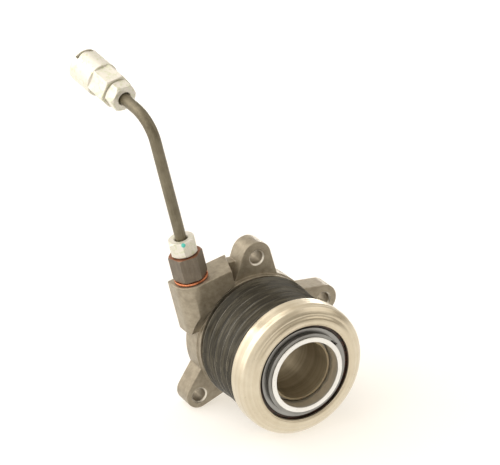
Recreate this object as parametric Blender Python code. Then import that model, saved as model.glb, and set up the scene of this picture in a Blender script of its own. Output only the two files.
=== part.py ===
# Concentric hydraulic slave cylinder with its release bearing, bellows and feed pipe.
# Metres, +Z up. The origin is the centre of the flange's back face, and the bearing faces -Y.
# A station is a distance ahead of that face. Turned pieces are drawn as (radius, station) outlines.

import math

import bmesh
import bpy
from mathutils import Matrix, Vector

# Fits
SEAT_GAP = 0.0003
THREAD_GAP = 0.0005

# Facets round a turn, and along the arcs
WIDE_FACETS = 36
NARROW_FACETS = 24
BOLT_FACETS = 16
POCKET_FACETS = 8
O_RING_CORNERS = 6
SPRING_FACETS = 16
SPRING_SIDES = 6
PIPE_SIDES = 12
PIPE_BEND_FACETS = 12
LATCH_SIDES = 8
LUG_FACETS = 8
BOSS_FACETS = 6
RACE_POINTS = 5
SHARP_ANGLE = 32.0

# Flange and cast housing
FLANGE_THICKNESS = 0.0115
FLANGE_STEP = 0.0007
COLLAR_HEIGHT = 0.0027
COLLAR_WALL = 0.0023
RECESS_DEPTH = 0.0034
WEB_THICKNESS = 0.0058
CHAMBER_WIDTH = 0.0052
CYLINDER_WALL = 0.0035
CAST_EDGE = 0.0006

# Lugs: each one's angle from +X in the front view, and the radius of its rounded end
LUGS = ((88.7, 0.0082), (14.0, 0.0077), (219.9, 0.0070))
LUG_CIRCLE_RADIUS = 0.0416
LUG_FLARE = 18.0
BOLT_HOLE_RADIUS = 0.0034
BOLT_HOLE_CHAMFER = 0.0009

# Inlet boss: its drilling leans to -X and passes beside the cylinder
INLET_TILT = 13.5
INLET_OFFSET = 0.0240
INLET_STATION = 0.0075
BOSS_HEIGHT = 0.0433
BOSS_RADIUS = 0.0098
BOSS_WIDTH = 0.0328
BOSS_SLANT = 0.0055
BOSS_LOWER_END = 0.0160
BOSS_UNDERCUT = 0.0115
BOSS_BOOT_CLEARANCE = 0.0022
BOSS_WEB_THICKNESS = 0.0065
BOSS_WEB_DROP = 0.0020
DRILLING_RADIUS = 0.0020
CROSS_DRILLING_RADIUS = 0.0013

# Guide sleeve
GUIDE_BORE_RADIUS = 0.0148
GUIDE_WALL = 0.0010
GUIDE_FLANGE_RADIUS = 0.0185
GUIDE_FLANGE_THICKNESS = 0.0015
GUIDE_FLANGE_DEPTH = 0.0006
GUIDE_SET_BACK = 0.0061
STOP_RING_WIDTH = 0.0012
STOP_RING_HEIGHT = 0.0010
STOP_GROOVE_DEPTH = 0.0005
STOP_RING_SET_BACK = 0.0026
O_RING_SECTION = 0.0016

# Piston
STROKE = 0.0140
SEAL_LENGTH = 0.0028
PISTON_HEAD_LENGTH = 0.0044
PISTON_WALL = 0.0034
PISTON_MOUTH_WALL = 0.0024
PISTON_FLANGE_REACH = 0.0055
PISTON_FLANGE_THICKNESS = 0.0020
WIPER_WIDTH = 0.0022
WIPER_HEIGHT = 0.0011
CYLINDER_CLEARANCE = 0.0006

# Release bearing
BEARING_FLOAT = 0.0008
RACE_SHOULDER = 0.0023
INNER_RING_WALL = 0.0053
INNER_NOSE_WALL = 0.0029
INNER_RING_WIDTH = 0.0117
BALL_RADIUS = 0.0030
BALL_COUNT = 16
BALL_STATION = 0.0058
OUTER_RING_WALL = 0.0028
OUTER_REAR_STEP = 0.0007
OUTER_FRONT_LEAD = 0.0016
OUTER_EDGE = 0.0004
# The rim's steps towards the front: drop in edges, distance behind the front in ring widths
OUTER_STEPS = ((0.0, 0.52), (0.9, 0.48), (1.6, 0.38), (4.3, 0.23), (8.2, 0.12), (10.5, 0.11), (13.0, 0.03))
FRONT_LIP_GAP = 0.0014
CAGE_THICKNESS = 0.0014
CAGE_BAR = 0.0004
BEARING_SEAL_THICKNESS = 0.0008
WAVE_WASHER_THICKNESS = 0.0004
WAVE_HEIGHT = 0.0002
CLIP_WIDTH = 0.0011
CLIP_GROOVE_DEPTH = 0.0010
CLIP_REACH = 0.0016
CLIP_GAP_ANGLE = 42.4
CLIP_GAP_SPREAD = 12.0
NOSE_LEAD = 0.0008

# Preload spring and bellows
SPRING_WIRE = 0.0024
SPRING_CLEARANCE = 0.0016
SPRING_TURNS = 5
SEAT_PLATE = 0.0013
BOOT_CLEARANCE = 0.0005
BOOT_WALL = 0.0010
BOOT_FOLD = 0.0022
BOOT_FOLDS = 5
BOOT_TAPER = 0.0004
BOOT_BEAD = 0.0020

# Unions and feed pipe, measured along the inlet and the socket
WASHER_THICKNESS = 0.0011
WASHER_RADIUS = 0.0085
ADAPTER_FLATS = 0.0150
ADAPTER_HEIGHT = 0.0130
ADAPTER_TURN = -15.8
ADAPTER_SHANK_LENGTH = 0.0100
ADAPTER_SHANK_RADIUS = 0.0056
ADAPTER_THREAD_DEPTH = 0.0090
NUT_FLATS = 0.0127
INLET_NUT_HEIGHT = 0.0080
SOCKET_NUT_HEIGHT = 0.0065
NUT_TURN = 8.0
NUT_SHANK_RADIUS = 0.0047
NUT_SHANK_LENGTH = 0.0066
NUT_CHAMFER = 0.0011
BODY_CHAMFER = 0.0006
FLARE_SEAT_DEPTH = 0.0020
FLARE_REACH = 0.0012
FLARE_LENGTH = 0.0014
FLARE_LAND = 0.0006
PIPE_RADIUS = 0.0028
PIPE_BORE_RADIUS = 0.0018
PIPE_STRAIGHT = 0.0752
PIPE_BEND_RADIUS = 0.0158
PIPE_BEND_ANGLE = 72.5
PIPE_BEND_TWIST = 6.6
PIPE_TAIL = 0.0088
BODY_HEX_LENGTH = 0.0115
BODY_LENGTH = 0.0160
BODY_RADIUS = 0.0087
SOCKET_RADIUS = 0.0048
SOCKET_DEPTH = 0.0120
SOCKET_RING_SECTION = 0.0018
SOCKET_RING_STATION = 0.0036
LATCH_WIRE = 0.0014
LATCH_STATION = 0.0018
LATCH_LEG_OFFSET = 0.0036
LATCH_CROWN_INSET = 0.0002

# Radii worked out from the inside to the outside
guide_radius = GUIDE_BORE_RADIUS + GUIDE_WALL
chamber_radius = guide_radius + CHAMBER_WIDTH
cylinder_radius = chamber_radius + CYLINDER_WALL
spring_inner = cylinder_radius + SPRING_CLEARANCE
boot_inner = spring_inner + SPRING_WIRE + BOOT_CLEARANCE
cuff_radius = boot_inner + BOOT_WALL
recess_radius = cuff_radius + SEAT_GAP
collar_radius = recess_radius + COLLAR_WALL
flange_radius = collar_radius + FLANGE_STEP
piston_bore = guide_radius + SEAT_GAP
piston_radius = piston_bore + PISTON_WALL
mouth_radius = piston_radius - PISTON_MOUTH_WALL
piston_flange_radius = piston_radius + PISTON_FLANGE_REACH
ring_bore = piston_radius + BEARING_FLOAT
inner_shoulder = ring_bore + INNER_RING_WALL
inner_nose = ring_bore + INNER_NOSE_WALL
pitch_radius = inner_shoulder + RACE_SHOULDER
race_radius = BALL_RADIUS + SEAT_GAP
outer_shoulder = pitch_radius + RACE_SHOULDER
outer_radius = pitch_radius + race_radius + OUTER_RING_WALL
lip_radius = inner_nose + FRONT_LIP_GAP
boot_reach = cuff_radius + BOOT_FOLD + 2 * BOOT_TAPER

# Stations worked out from the back face to the nose
collar_front = FLANGE_THICKNESS + COLLAR_HEIGHT
recess_floor = collar_front - RECESS_DEPTH
sleeve_counterbore = GUIDE_FLANGE_DEPTH + GUIDE_FLANGE_THICKNESS + SEAT_GAP
seal_back = WEB_THICKNESS + SEAT_GAP + STROKE
piston_back = seal_back + SEAL_LENGTH + SEAT_GAP
cylinder_front = piston_back + PISTON_HEAD_LENGTH + 2 * CAST_EDGE + CYLINDER_CLEARANCE
piston_flange_back = cylinder_front + STROKE + CYLINDER_CLEARANCE + SEAT_PLATE + SEAT_GAP
piston_flange_front = piston_flange_back + PISTON_FLANGE_THICKNESS
ring_back = piston_flange_front + SEAT_GAP
ring_front = ring_back + INNER_RING_WIDTH
ball_station = ring_back + BALL_STATION
outer_back = ring_back + OUTER_REAR_STEP
outer_front = ring_front + OUTER_FRONT_LEAD
seal_pocket_front = ball_station + race_radius + CAGE_BAR + 3 * SEAT_GAP + BEARING_SEAL_THICKNESS
seal_pocket_back = seal_pocket_front - BEARING_SEAL_THICKNESS - 2 * SEAT_GAP
wave_middle = ring_front + SEAT_GAP + WAVE_HEIGHT + WAVE_WASHER_THICKNESS / 2
clip_back = wave_middle + WAVE_HEIGHT + WAVE_WASHER_THICKNESS / 2 + SEAT_GAP
clip_front = clip_back + CLIP_WIDTH
nose_station = clip_front + NOSE_LEAD
guide_front = nose_station - GUIDE_SET_BACK
stop_ring_front = guide_front - STOP_RING_SET_BACK
stop_ring_back = stop_ring_front - STOP_RING_WIDTH
mouth_floor = stop_ring_back - SEAT_GAP
wiper_front = mouth_floor - WIPER_WIDTH
wiper_back = wiper_front - WIPER_WIDTH - SEAT_GAP
seat_front = piston_flange_back - SEAT_GAP
seat_back = seat_front - SEAT_PLATE

# Heights worked out along the inlet, above the cylinder's axis
washer_foot = BOSS_HEIGHT + SEAT_GAP
adapter_foot = washer_foot + WASHER_THICKNESS + SEAT_GAP
adapter_top = adapter_foot + ADAPTER_HEIGHT
nut_foot = adapter_top + SEAT_GAP
thread_floor = adapter_top - ADAPTER_THREAD_DEPTH
pipe_start = thread_floor + SEAT_GAP
thread_radius = NUT_SHANK_RADIUS + THREAD_GAP
bend_start = BOSS_HEIGHT + PIPE_STRAIGHT

# Stations of the socket, measured from the outer face of its tube nut
body_start = SOCKET_NUT_HEIGHT + SEAT_GAP
body_thread_floor = body_start + ADAPTER_THREAD_DEPTH
pipe_end = body_thread_floor - SEAT_GAP
body_step = body_start + BODY_HEX_LENGTH
mouth_station = body_step + BODY_LENGTH
socket_floor = mouth_station - SOCKET_DEPTH
latch_station = mouth_station - LATCH_STATION

# The main frame's Z runs along the stations and its XY plane is the front view
main_frame = Matrix.Rotation(math.radians(90.0), 4, "X")
inlet_frame = (Matrix.Rotation(math.radians(-INLET_TILT), 4, "Y")
               @ Matrix.Translation((-INLET_OFFSET, -INLET_STATION, 0.0)))


def clear_scene():
    for thing in list(bpy.data.objects):
        bpy.data.objects.remove(thing, do_unlink=True)


def material(name, colour, roughness, metallic):
    made = bpy.data.materials.new(name)
    made.use_nodes = True
    shader = made.node_tree.nodes["Principled BSDF"]
    shader.inputs["Base Color"].default_value = (*colour, 1.0)
    shader.inputs["Roughness"].default_value = roughness
    shader.inputs["Metallic"].default_value = metallic
    made.diffuse_color = (*colour, 1.0)
    return made


def add_object(name, bm, frame, finish):
    """Turns a bmesh into a smooth-shaded object placed by its frame."""
    bmesh.ops.remove_doubles(bm, verts=bm.verts, dist=1e-7)
    bmesh.ops.recalc_face_normals(bm, faces=bm.faces)
    mesh = bpy.data.meshes.new(name)
    bm.to_mesh(mesh)
    bm.free()
    mesh.shade_smooth()
    mesh.set_sharp_from_angle(angle=math.radians(SHARP_ANGLE))
    if finish:
        mesh.materials.append(finish)
    made = bpy.data.objects.new(name, mesh)
    made.matrix_world = frame
    bpy.context.scene.collection.objects.link(made)
    return made


def spin_profile(bm, profile, facets):
    """Spins a (radius, height) outline round Z: a closed loop, or a line from the axis back to the axis."""
    corners = [bm.verts.new((radius, 0.0, height)) for radius, height in profile]
    first = 1 if profile[0][0] == 0.0 else 0
    edges = [bm.edges.new((corners[i - 1], corners[i])) for i in range(first, len(corners))]
    bmesh.ops.spin(bm, geom=corners + edges, cent=(0, 0, 0), axis=(0, 0, 1), dvec=(0, 0, 0),
                   angle=math.tau, steps=facets, use_merge=True, use_duplicate=False)


def turned(name, profile, facets, frame, finish):
    bm = bmesh.new()
    spin_profile(bm, profile, facets)
    return add_object(name, bm, frame, finish)


def plate(radius_in, radius_out, low, high):
    """Outline of a flat ring."""
    return [(radius_in, low), (radius_out, low), (radius_out, high), (radius_in, high)]


def round_section(radius, station, section):
    """Outline of an O-ring."""
    angles = [math.tau * i / O_RING_CORNERS for i in range(O_RING_CORNERS)]
    return [(radius + section * math.cos(a), station + section * math.sin(a)) for a in angles]


def race_arc(side):
    """Groove round the balls, low station to high: side is +1 for the outer race, -1 for the inner."""
    reach = math.acos(RACE_SHOULDER / race_radius)
    angles = [reach * (2 * i / (RACE_POINTS - 1) - 1) for i in range(RACE_POINTS)]
    return [(pitch_radius + side * race_radius * math.cos(a), ball_station + race_radius * math.sin(a))
            for a in angles]


def prism(name, outline, low, high, frame, finish=None, edge=0.0):
    """Extrudes an XY outline from low to high, with its top edge bevelled if edge is given."""
    bm = bmesh.new()
    floor = bm.faces.new([bm.verts.new((x, y, low)) for x, y in outline])
    raised = bmesh.ops.extrude_face_region(bm, geom=[floor], use_keep_orig=True)
    top = [v for v in raised["geom"] if isinstance(v, bmesh.types.BMVert)]
    bmesh.ops.translate(bm, verts=top, vec=(0, 0, high - low))
    bmesh.ops.recalc_face_normals(bm, faces=bm.faces)
    if edge:
        rim = [e for e in bm.edges if all(v in top for v in e.verts)]
        bmesh.ops.bevel(bm, geom=rim, offset=edge, segments=1, affect="EDGES")
    return add_object(name, bm, frame, finish)


def drill(radius, low, high, frame, facets=BOLT_FACETS):
    return turned("cutter", [(0.0, low), (radius, low), (radius, high), (0.0, high)], facets, frame, None)


def combine(target, tool, operation):
    """Applies a Boolean and removes its tool."""
    step = target.modifiers.new("step", "BOOLEAN")
    step.object = tool
    step.operation = operation
    step.solver = "EXACT"
    bpy.context.view_layer.objects.active = target
    bpy.ops.object.modifier_apply(modifier=step.name)
    bpy.data.objects.remove(tool, do_unlink=True)


def hexagon(flats):
    """Outline of a hexagon across its flats."""
    corner = flats / math.sqrt(3.0)
    turns = [math.radians(60 * i) for i in range(6)]
    return [(corner * math.cos(a), corner * math.sin(a)) for a in turns]


def hex_piece(name, flats, low, high, frame, finish, turn=0.0, chamfer=BODY_CHAMFER):
    """A hexagonal bar whose corners are turned off at both ends, each by the middle of a cone's facet."""
    bar = prism(name, hexagon(flats), low, high, frame @ Matrix.Rotation(math.radians(turn), 4, "Z"), finish)
    half_facet = math.pi / NARROW_FACETS
    narrow = flats / math.sqrt(3.0) - chamfer
    reach = (high - low) / 2
    start, end = low - chamfer, high + chamfer
    outline = [(0.0, start), (narrow - chamfer, start), (narrow + reach, low + reach),
               (narrow - chamfer, end), (0.0, end)]
    place = frame @ Matrix.Rotation(math.radians(turn) + half_facet, 4, "Z")
    cone = turned("cone", outline, NARROW_FACETS, place, None)
    combine(bar, cone, "INTERSECT")
    return bar


def sweep(name, points, radii, bores, sides, frame, finish):
    """Sweeps a round section along points. Bores, where given, hollow it from end to end."""
    bm = bmesh.new()
    tangents = [(points[min(i + 1, len(points) - 1)] - points[max(i - 1, 0)]).normalized()
                for i in range(len(points))]
    side = tangents[0].orthogonal().normalized()
    outer, inner = [], []
    for i, point in enumerate(points):
        side = (side - tangents[i] * side.dot(tangents[i])).normalized()
        across = tangents[i].cross(side)
        arms = [side * math.cos(math.tau * k / sides) + across * math.sin(math.tau * k / sides)
                for k in range(sides)]
        outer.append([bm.verts.new(point + arm * radii[i]) for arm in arms])
        if bores:
            inner.append([bm.verts.new(point + arm * bores[i]) for arm in arms])
    walls = [outer] + ([inner] if bores else [])
    for wall in walls:
        for first, second in zip(wall, wall[1:]):
            for k in range(sides):
                bm.faces.new((first[k - 1], first[k], second[k], second[k - 1]))
    for end in (0, -1):
        if bores:
            for k in range(sides):
                bm.faces.new((outer[end][k - 1], outer[end][k], inner[end][k], inner[end][k - 1]))
        else:
            bm.faces.new(outer[end])
    return add_object(name, bm, frame, finish)


def lug_outline(angle, end_radius):
    """A rounded ear that widens towards the axis and ends inside the collar's wall."""
    flare = math.radians(LUG_FLARE)
    half_turn = math.pi / 2 - flare
    arc = [half_turn * (2 * i / LUG_FACETS - 1) for i in range(LUG_FACETS + 1)]
    points = [(LUG_CIRCLE_RADIUS + end_radius * math.cos(a), end_radius * math.sin(a)) for a in arc]
    tip_x, tip_y = points[-1]
    root_x = recess_radius + SEAT_GAP
    root_y = tip_y + (tip_x - root_x) * math.tan(flare)
    points += [(root_x, root_y), (root_x, -root_y)]
    turn = Matrix.Rotation(math.radians(angle), 2)
    return [tuple(turn @ Vector(p)) for p in points]


def boss_outline():
    """Plan of the inlet boss in the inlet frame: a round front left corner and a slanted right side."""
    back = INLET_STATION - SEAT_GAP
    arc = [math.radians(180 + 90 * i / BOSS_FACETS) for i in range(BOSS_FACETS + 1)]
    left = [(BOSS_RADIUS * math.cos(a), BOSS_RADIUS * math.sin(a)) for a in arc]
    right_back = BOSS_WIDTH - BOSS_RADIUS
    return [(-BOSS_RADIUS, back)] + left + [(right_back - BOSS_SLANT, -BOSS_RADIUS), (right_back, back)]


def inlet_boss():
    """The boss, with its lower end cut back on a slope towards the flange, and room for the bellows."""
    boss = prism("boss", boss_outline(), BOSS_LOWER_END, BOSS_HEIGHT, inlet_frame, edge=CAST_EDGE)
    slope = BOSS_UNDERCUT / (BOSS_RADIUS + INLET_STATION - FLANGE_THICKNESS)
    bm = bmesh.new()
    bm.from_mesh(boss.data)
    low_front = Vector((0.0, INLET_STATION - FLANGE_THICKNESS, BOSS_LOWER_END))
    cut = bmesh.ops.bisect_plane(bm, geom=bm.verts[:] + bm.edges[:] + bm.faces[:], plane_co=low_front,
                                 plane_no=(0.0, slope, 1.0), clear_inner=True)
    rim = [e for e in cut["geom_cut"] if isinstance(e, bmesh.types.BMEdge)]
    bmesh.ops.holes_fill(bm, edges=rim)
    bmesh.ops.recalc_face_normals(bm, faces=bm.faces)
    bm.to_mesh(boss.data)
    bm.free()
    combine(boss, bellows_room(), "DIFFERENCE")
    return boss


def bellows_room():
    """Turned space kept free of the boss: its steps lie inside the walls of the housing's blank."""
    inside_cylinder = (chamber_radius + cylinder_radius) / 2
    inside_collar = (recess_radius + collar_radius) / 2
    clearance = boot_reach + BOSS_BOOT_CLEARANCE
    floor, lip, past = recess_floor - CAST_EDGE, collar_front - CAST_EDGE, cylinder_front + CAST_EDGE
    return turned("room", [
        (0.0, -CAST_EDGE), (inside_cylinder, -CAST_EDGE), (inside_cylinder, floor), (inside_collar, floor),
        (inside_collar, lip), (clearance, lip), (clearance, past),
        (0.0, past)], WIDE_FACETS, main_frame, None)


def boss_web():
    """The low web between the boss and the top lug, in the front view."""
    top = BOSS_HEIGHT - BOSS_WEB_DROP
    tilt = Matrix.Rotation(math.radians(INLET_TILT), 2)
    right = tilt @ Vector((BOSS_WIDTH - BOSS_RADIUS - INLET_OFFSET, top))
    near = right.x - BOSS_SLANT / 2
    far = LUG_CIRCLE_RADIUS * math.cos(math.radians(LUGS[0][0]))
    outline = [(near, cylinder_radius), (far, cylinder_radius), (far, right.y), (near, right.y)]
    return prism("web", outline, SEAT_GAP, BOSS_WEB_THICKNESS, main_frame)


def housing(finish):
    """The casting: a turned blank with its bores, then lugs and boss joined on and the holes drilled."""
    seat = guide_radius + SEAT_GAP
    flange_seat = GUIDE_FLANGE_RADIUS + SEAT_GAP
    ring_groove = guide_radius + O_RING_SECTION + 2 * SEAT_GAP
    ring_floor = sleeve_counterbore + O_RING_SECTION + 2 * SEAT_GAP
    edge = CAST_EDGE
    body = turned("housing", [
        (flange_seat, 0.0), (flange_radius - edge, 0.0), (flange_radius, edge),
        (flange_radius, FLANGE_THICKNESS - edge), (collar_radius, FLANGE_THICKNESS),
        (collar_radius, collar_front - edge), (collar_radius - edge, collar_front),
        (recess_radius + edge, collar_front), (recess_radius, collar_front - edge),
        (recess_radius, recess_floor), (cylinder_radius, recess_floor), (cylinder_radius, cylinder_front - edge),
        (cylinder_radius - edge, cylinder_front), (chamber_radius + edge, cylinder_front),
        (chamber_radius, cylinder_front - edge), (chamber_radius, WEB_THICKNESS), (seat, WEB_THICKNESS),
        (seat, ring_floor), (ring_groove, ring_floor), (ring_groove, sleeve_counterbore),
        (flange_seat, sleeve_counterbore)], WIDE_FACETS, main_frame, finish)
    for angle, end_radius in LUGS:
        lug = prism("lug", lug_outline(angle, end_radius), 0.0, FLANGE_THICKNESS, main_frame, edge=CAST_EDGE)
        combine(body, lug, "UNION")
    combine(body, boss_web(), "UNION")
    combine(body, inlet_boss(), "UNION")
    cut_bolt_holes(body)
    cut_inlet(body)
    return body


def cut_bolt_holes(body):
    """Through holes in the lugs, chamfered at both ends."""
    wide = BOLT_HOLE_RADIUS + 2 * BOLT_HOLE_CHAMFER
    low, high = -BOLT_HOLE_CHAMFER, FLANGE_THICKNESS + BOLT_HOLE_CHAMFER
    profile = [(0.0, low), (wide, low), (BOLT_HOLE_RADIUS, BOLT_HOLE_CHAMFER),
               (BOLT_HOLE_RADIUS, FLANGE_THICKNESS - BOLT_HOLE_CHAMFER), (wide, high), (0.0, high)]
    for angle, _ in LUGS:
        place = Matrix.Rotation(math.radians(angle), 4, "Z") @ Matrix.Translation((LUG_CIRCLE_RADIUS, 0, 0))
        combine(body, turned("cutter", profile, BOLT_FACETS, main_frame @ place, None), "DIFFERENCE")


def cut_inlet(body):
    """The threaded port, its drilling down beside the cylinder and the cross drilling into the chamber."""
    port = ADAPTER_SHANK_RADIUS + THREAD_GAP
    port_floor = adapter_foot - ADAPTER_SHANK_LENGTH - SEAT_GAP
    combine(body, drill(port, port_floor, BOSS_HEIGHT + CAST_EDGE, inlet_frame, NARROW_FACETS), "DIFFERENCE")
    combine(body, drill(DRILLING_RADIUS, 0.0, port_floor + CAST_EDGE, inlet_frame), "DIFFERENCE")
    height = Matrix.Translation((0, 0, 2 * CROSS_DRILLING_RADIUS))
    half_facet = Matrix.Rotation(math.pi / BOLT_FACETS, 4, "Z")
    cross = inlet_frame @ height @ Matrix.Rotation(math.pi / 2, 4, "Y") @ half_facet
    combine(body, drill(CROSS_DRILLING_RADIUS, 0.0, INLET_OFFSET - chamber_radius + CYLINDER_WALL / 2, cross),
            "DIFFERENCE")


def guide_sleeve(finish):
    """Thin steel tube that the piston slides on, flanged at the back and grooved for the stop ring."""
    groove = guide_radius - STOP_GROOVE_DEPTH
    back = GUIDE_FLANGE_DEPTH
    turned("guide_sleeve", [
        (GUIDE_BORE_RADIUS, back), (GUIDE_FLANGE_RADIUS, back),
        (GUIDE_FLANGE_RADIUS, back + GUIDE_FLANGE_THICKNESS), (guide_radius, back + GUIDE_FLANGE_THICKNESS),
        (guide_radius, stop_ring_back - SEAT_GAP / 2), (groove, stop_ring_back - SEAT_GAP / 2),
        (groove, stop_ring_front + SEAT_GAP / 2), (guide_radius, stop_ring_front + SEAT_GAP / 2),
        (guide_radius, guide_front - GUIDE_WALL / 3),
        (guide_radius - GUIDE_WALL / 3, guide_front), (GUIDE_BORE_RADIUS, guide_front)],
        WIDE_FACETS, main_frame, finish)


def sleeve_rings(rubber, steel):
    """The sleeve's O-ring behind the web and the stop ring that ends the piston's stroke."""
    half = O_RING_SECTION / 2
    section = round_section(guide_radius + SEAT_GAP + half, sleeve_counterbore + SEAT_GAP + half, half)
    turned("sleeve_o_ring", section, WIDE_FACETS, main_frame, rubber)
    foot = guide_radius - STOP_GROOVE_DEPTH + SEAT_GAP
    turned("sleeve_stop_ring", plate(foot, guide_radius + STOP_RING_HEIGHT, stop_ring_back, stop_ring_front),
           WIDE_FACETS, main_frame, steel)


def piston(finish):
    """Annular piston: head in the cylinder, flange behind the bearing, grooved nose and open mouth."""
    head = chamber_radius - SEAT_GAP
    groove = piston_radius - CLIP_GROOVE_DEPTH
    pocket = piston_bore + WIPER_HEIGHT + SEAT_GAP
    turned("piston", [
        (piston_bore, piston_back), (head, piston_back), (head, piston_back + PISTON_HEAD_LENGTH),
        (piston_radius, piston_back + PISTON_HEAD_LENGTH + CAST_EDGE), (piston_radius, piston_flange_back),
        (piston_flange_radius, piston_flange_back), (piston_flange_radius, piston_flange_front),
        (piston_radius, piston_flange_front), (piston_radius, clip_back - SEAT_GAP / 2),
        (groove, clip_back - SEAT_GAP / 2), (groove, clip_front + SEAT_GAP / 2),
        (piston_radius, clip_front + SEAT_GAP / 2), (piston_radius, nose_station - SEAT_GAP),
        (piston_radius - SEAT_GAP, nose_station), (mouth_radius, nose_station), (mouth_radius, mouth_floor),
        (piston_bore, mouth_floor), (piston_bore, wiper_front), (pocket, wiper_front), (pocket, wiper_back),
        (piston_bore, wiper_back)], WIDE_FACETS, main_frame, finish)


def piston_rings(rubber):
    """The lip seal behind the head and the wiper in the piston's bore."""
    middle = (guide_radius + chamber_radius) / 2
    lip = SEAL_LENGTH / 2
    inner, outer = guide_radius + SEAT_GAP, chamber_radius - SEAT_GAP
    turned("piston_seal", [
        (inner, seal_back), (inner + O_RING_SECTION / 2, seal_back), (middle, seal_back + lip),
        (outer - O_RING_SECTION / 2, seal_back), (outer, seal_back), (outer, seal_back + SEAL_LENGTH),
        (inner, seal_back + SEAL_LENGTH)], WIDE_FACETS, main_frame, rubber)
    turned("wiper_ring", plate(piston_bore, piston_bore + WIPER_HEIGHT, wiper_back + SEAT_GAP / 2,
                               wiper_front - SEAT_GAP / 2), WIDE_FACETS, main_frame, rubber)


def outer_ring(finish):
    """Rotating ring with its raceway, stepped rim, softly rounded front and the front seal's pocket."""
    edge = OUTER_EDGE
    width = INNER_RING_WIDTH
    rim = [(outer_radius - drop * edge, outer_front - behind * width) for drop, behind in OUTER_STEPS]
    crown = (outer_radius + 2 * lip_radius) / 3 - edge
    pocket = outer_shoulder + SEAT_GAP
    turned("bearing_outer_ring", [
        (outer_shoulder, outer_back), (outer_radius - edge, outer_back),
        (outer_radius, outer_back + edge)] + rim
        + [(crown, outer_front), (lip_radius + edge, outer_front - edge / 2),
           (lip_radius, outer_front - 1.5 * edge), (lip_radius, seal_pocket_front + edge),
           (lip_radius + edge, seal_pocket_front), (pocket, seal_pocket_front), (pocket, seal_pocket_back)]
        + list(reversed(race_arc(1))), WIDE_FACETS, main_frame, finish)


def inner_ring(finish):
    """Fixed ring on the piston's nose, with its raceway and the flat front that shows."""
    step = seal_pocket_back - BEARING_SEAL_THICKNESS
    edge = SEAT_GAP
    turned("bearing_inner_ring", [
        (ring_bore, ring_back), (inner_shoulder - edge, ring_back), (inner_shoulder, ring_back + edge)]
        + race_arc(-1)
        + [(inner_shoulder, step), (inner_nose, step), (inner_nose, ring_front - edge),
           (inner_nose - edge, ring_front), (ring_bore, ring_front)], WIDE_FACETS, main_frame, finish)


def bearing_seals(rubber, steel):
    """Front seal carried by the outer ring, and rear shield carried by the inner ring."""
    front = seal_pocket_front - SEAT_GAP
    turned("bearing_front_seal", plate(inner_nose + SEAT_GAP, outer_shoulder, front - BEARING_SEAL_THICKNESS,
                                       front), WIDE_FACETS, main_frame, rubber)
    back = outer_back + SEAT_GAP
    turned("bearing_rear_seal", plate(inner_shoulder + SEAT_GAP, outer_shoulder - SEAT_GAP, back,
                                      back + BEARING_SEAL_THICKNESS), WIDE_FACETS, main_frame, steel)


def ball_set(steel, plastic):
    """Balls on their pitch circle and the cage that spaces them."""
    for i in range(BALL_COUNT):
        angle = math.tau * i / BALL_COUNT
        bm = bmesh.new()
        bmesh.ops.create_icosphere(bm, subdivisions=2, radius=BALL_RADIUS)
        x, y = pitch_radius * math.cos(angle), pitch_radius * math.sin(angle)
        place = main_frame @ Matrix.Translation((x, y, ball_station))
        add_object(f"bearing_ball_{i + 1:02d}", bm, place, steel)
    pocket = BALL_RADIUS + SEAT_GAP
    half_width = pocket + CAGE_BAR
    cage = turned("bearing_cage", plate(pitch_radius - CAGE_THICKNESS / 2, pitch_radius + CAGE_THICKNESS / 2,
                                        ball_station - half_width, ball_station + half_width),
                  2 * BALL_COUNT, main_frame @ Matrix.Rotation(math.pi / BALL_COUNT / 2, 4, "Z"), plastic)
    for i in range(BALL_COUNT):
        angle = math.tau * i / BALL_COUNT
        place = (Matrix.Rotation(angle, 4, "Z") @ Matrix.Translation((0, 0, ball_station))
                 @ Matrix.Rotation(math.pi / 2, 4, "Y"))
        combine(cage, drill(pocket, pitch_radius - CAGE_THICKNESS, pitch_radius + CAGE_THICKNESS,
                            main_frame @ place, POCKET_FACETS), "DIFFERENCE")


def wave_washer(finish):
    """Thin washer with three waves that holds the bearing against the piston's flange."""
    low, high = ring_bore, piston_radius + CLIP_REACH
    bm = bmesh.new()
    half = WAVE_WASHER_THICKNESS / 2
    spin_profile(bm, plate(low, high, wave_middle - half, wave_middle + half), WIDE_FACETS)
    for vert in bm.verts:
        vert.co.z += WAVE_HEIGHT * math.cos(3 * math.atan2(vert.co.y, vert.co.x))
    add_object("wave_washer", bm, main_frame, finish)


def retaining_clip(finish):
    """Split ring snapped into the groove of the piston's nose."""
    bm = bmesh.new()
    low = piston_radius - CLIP_GROOVE_DEPTH + SEAT_GAP
    high = piston_radius + CLIP_REACH
    start = math.radians(CLIP_GAP_ANGLE + CLIP_GAP_SPREAD / 2)
    turn = math.radians(360 - CLIP_GAP_SPREAD)
    corners = [bm.verts.new((r * math.cos(start), r * math.sin(start), z))
               for r, z in plate(low, high, clip_back, clip_front)]
    face = bm.faces.new(corners)
    bmesh.ops.spin(bm, geom=[face], cent=(0, 0, 0), axis=(0, 0, 1), angle=turn, steps=WIDE_FACETS,
                   use_duplicate=False)
    bmesh.ops.remove_doubles(bm, verts=bm.verts, dist=1e-7)
    bmesh.ops.holes_fill(bm, edges=[e for e in bm.edges if e.is_boundary])
    add_object("bearing_retaining_clip", bm, main_frame, finish)


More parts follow.
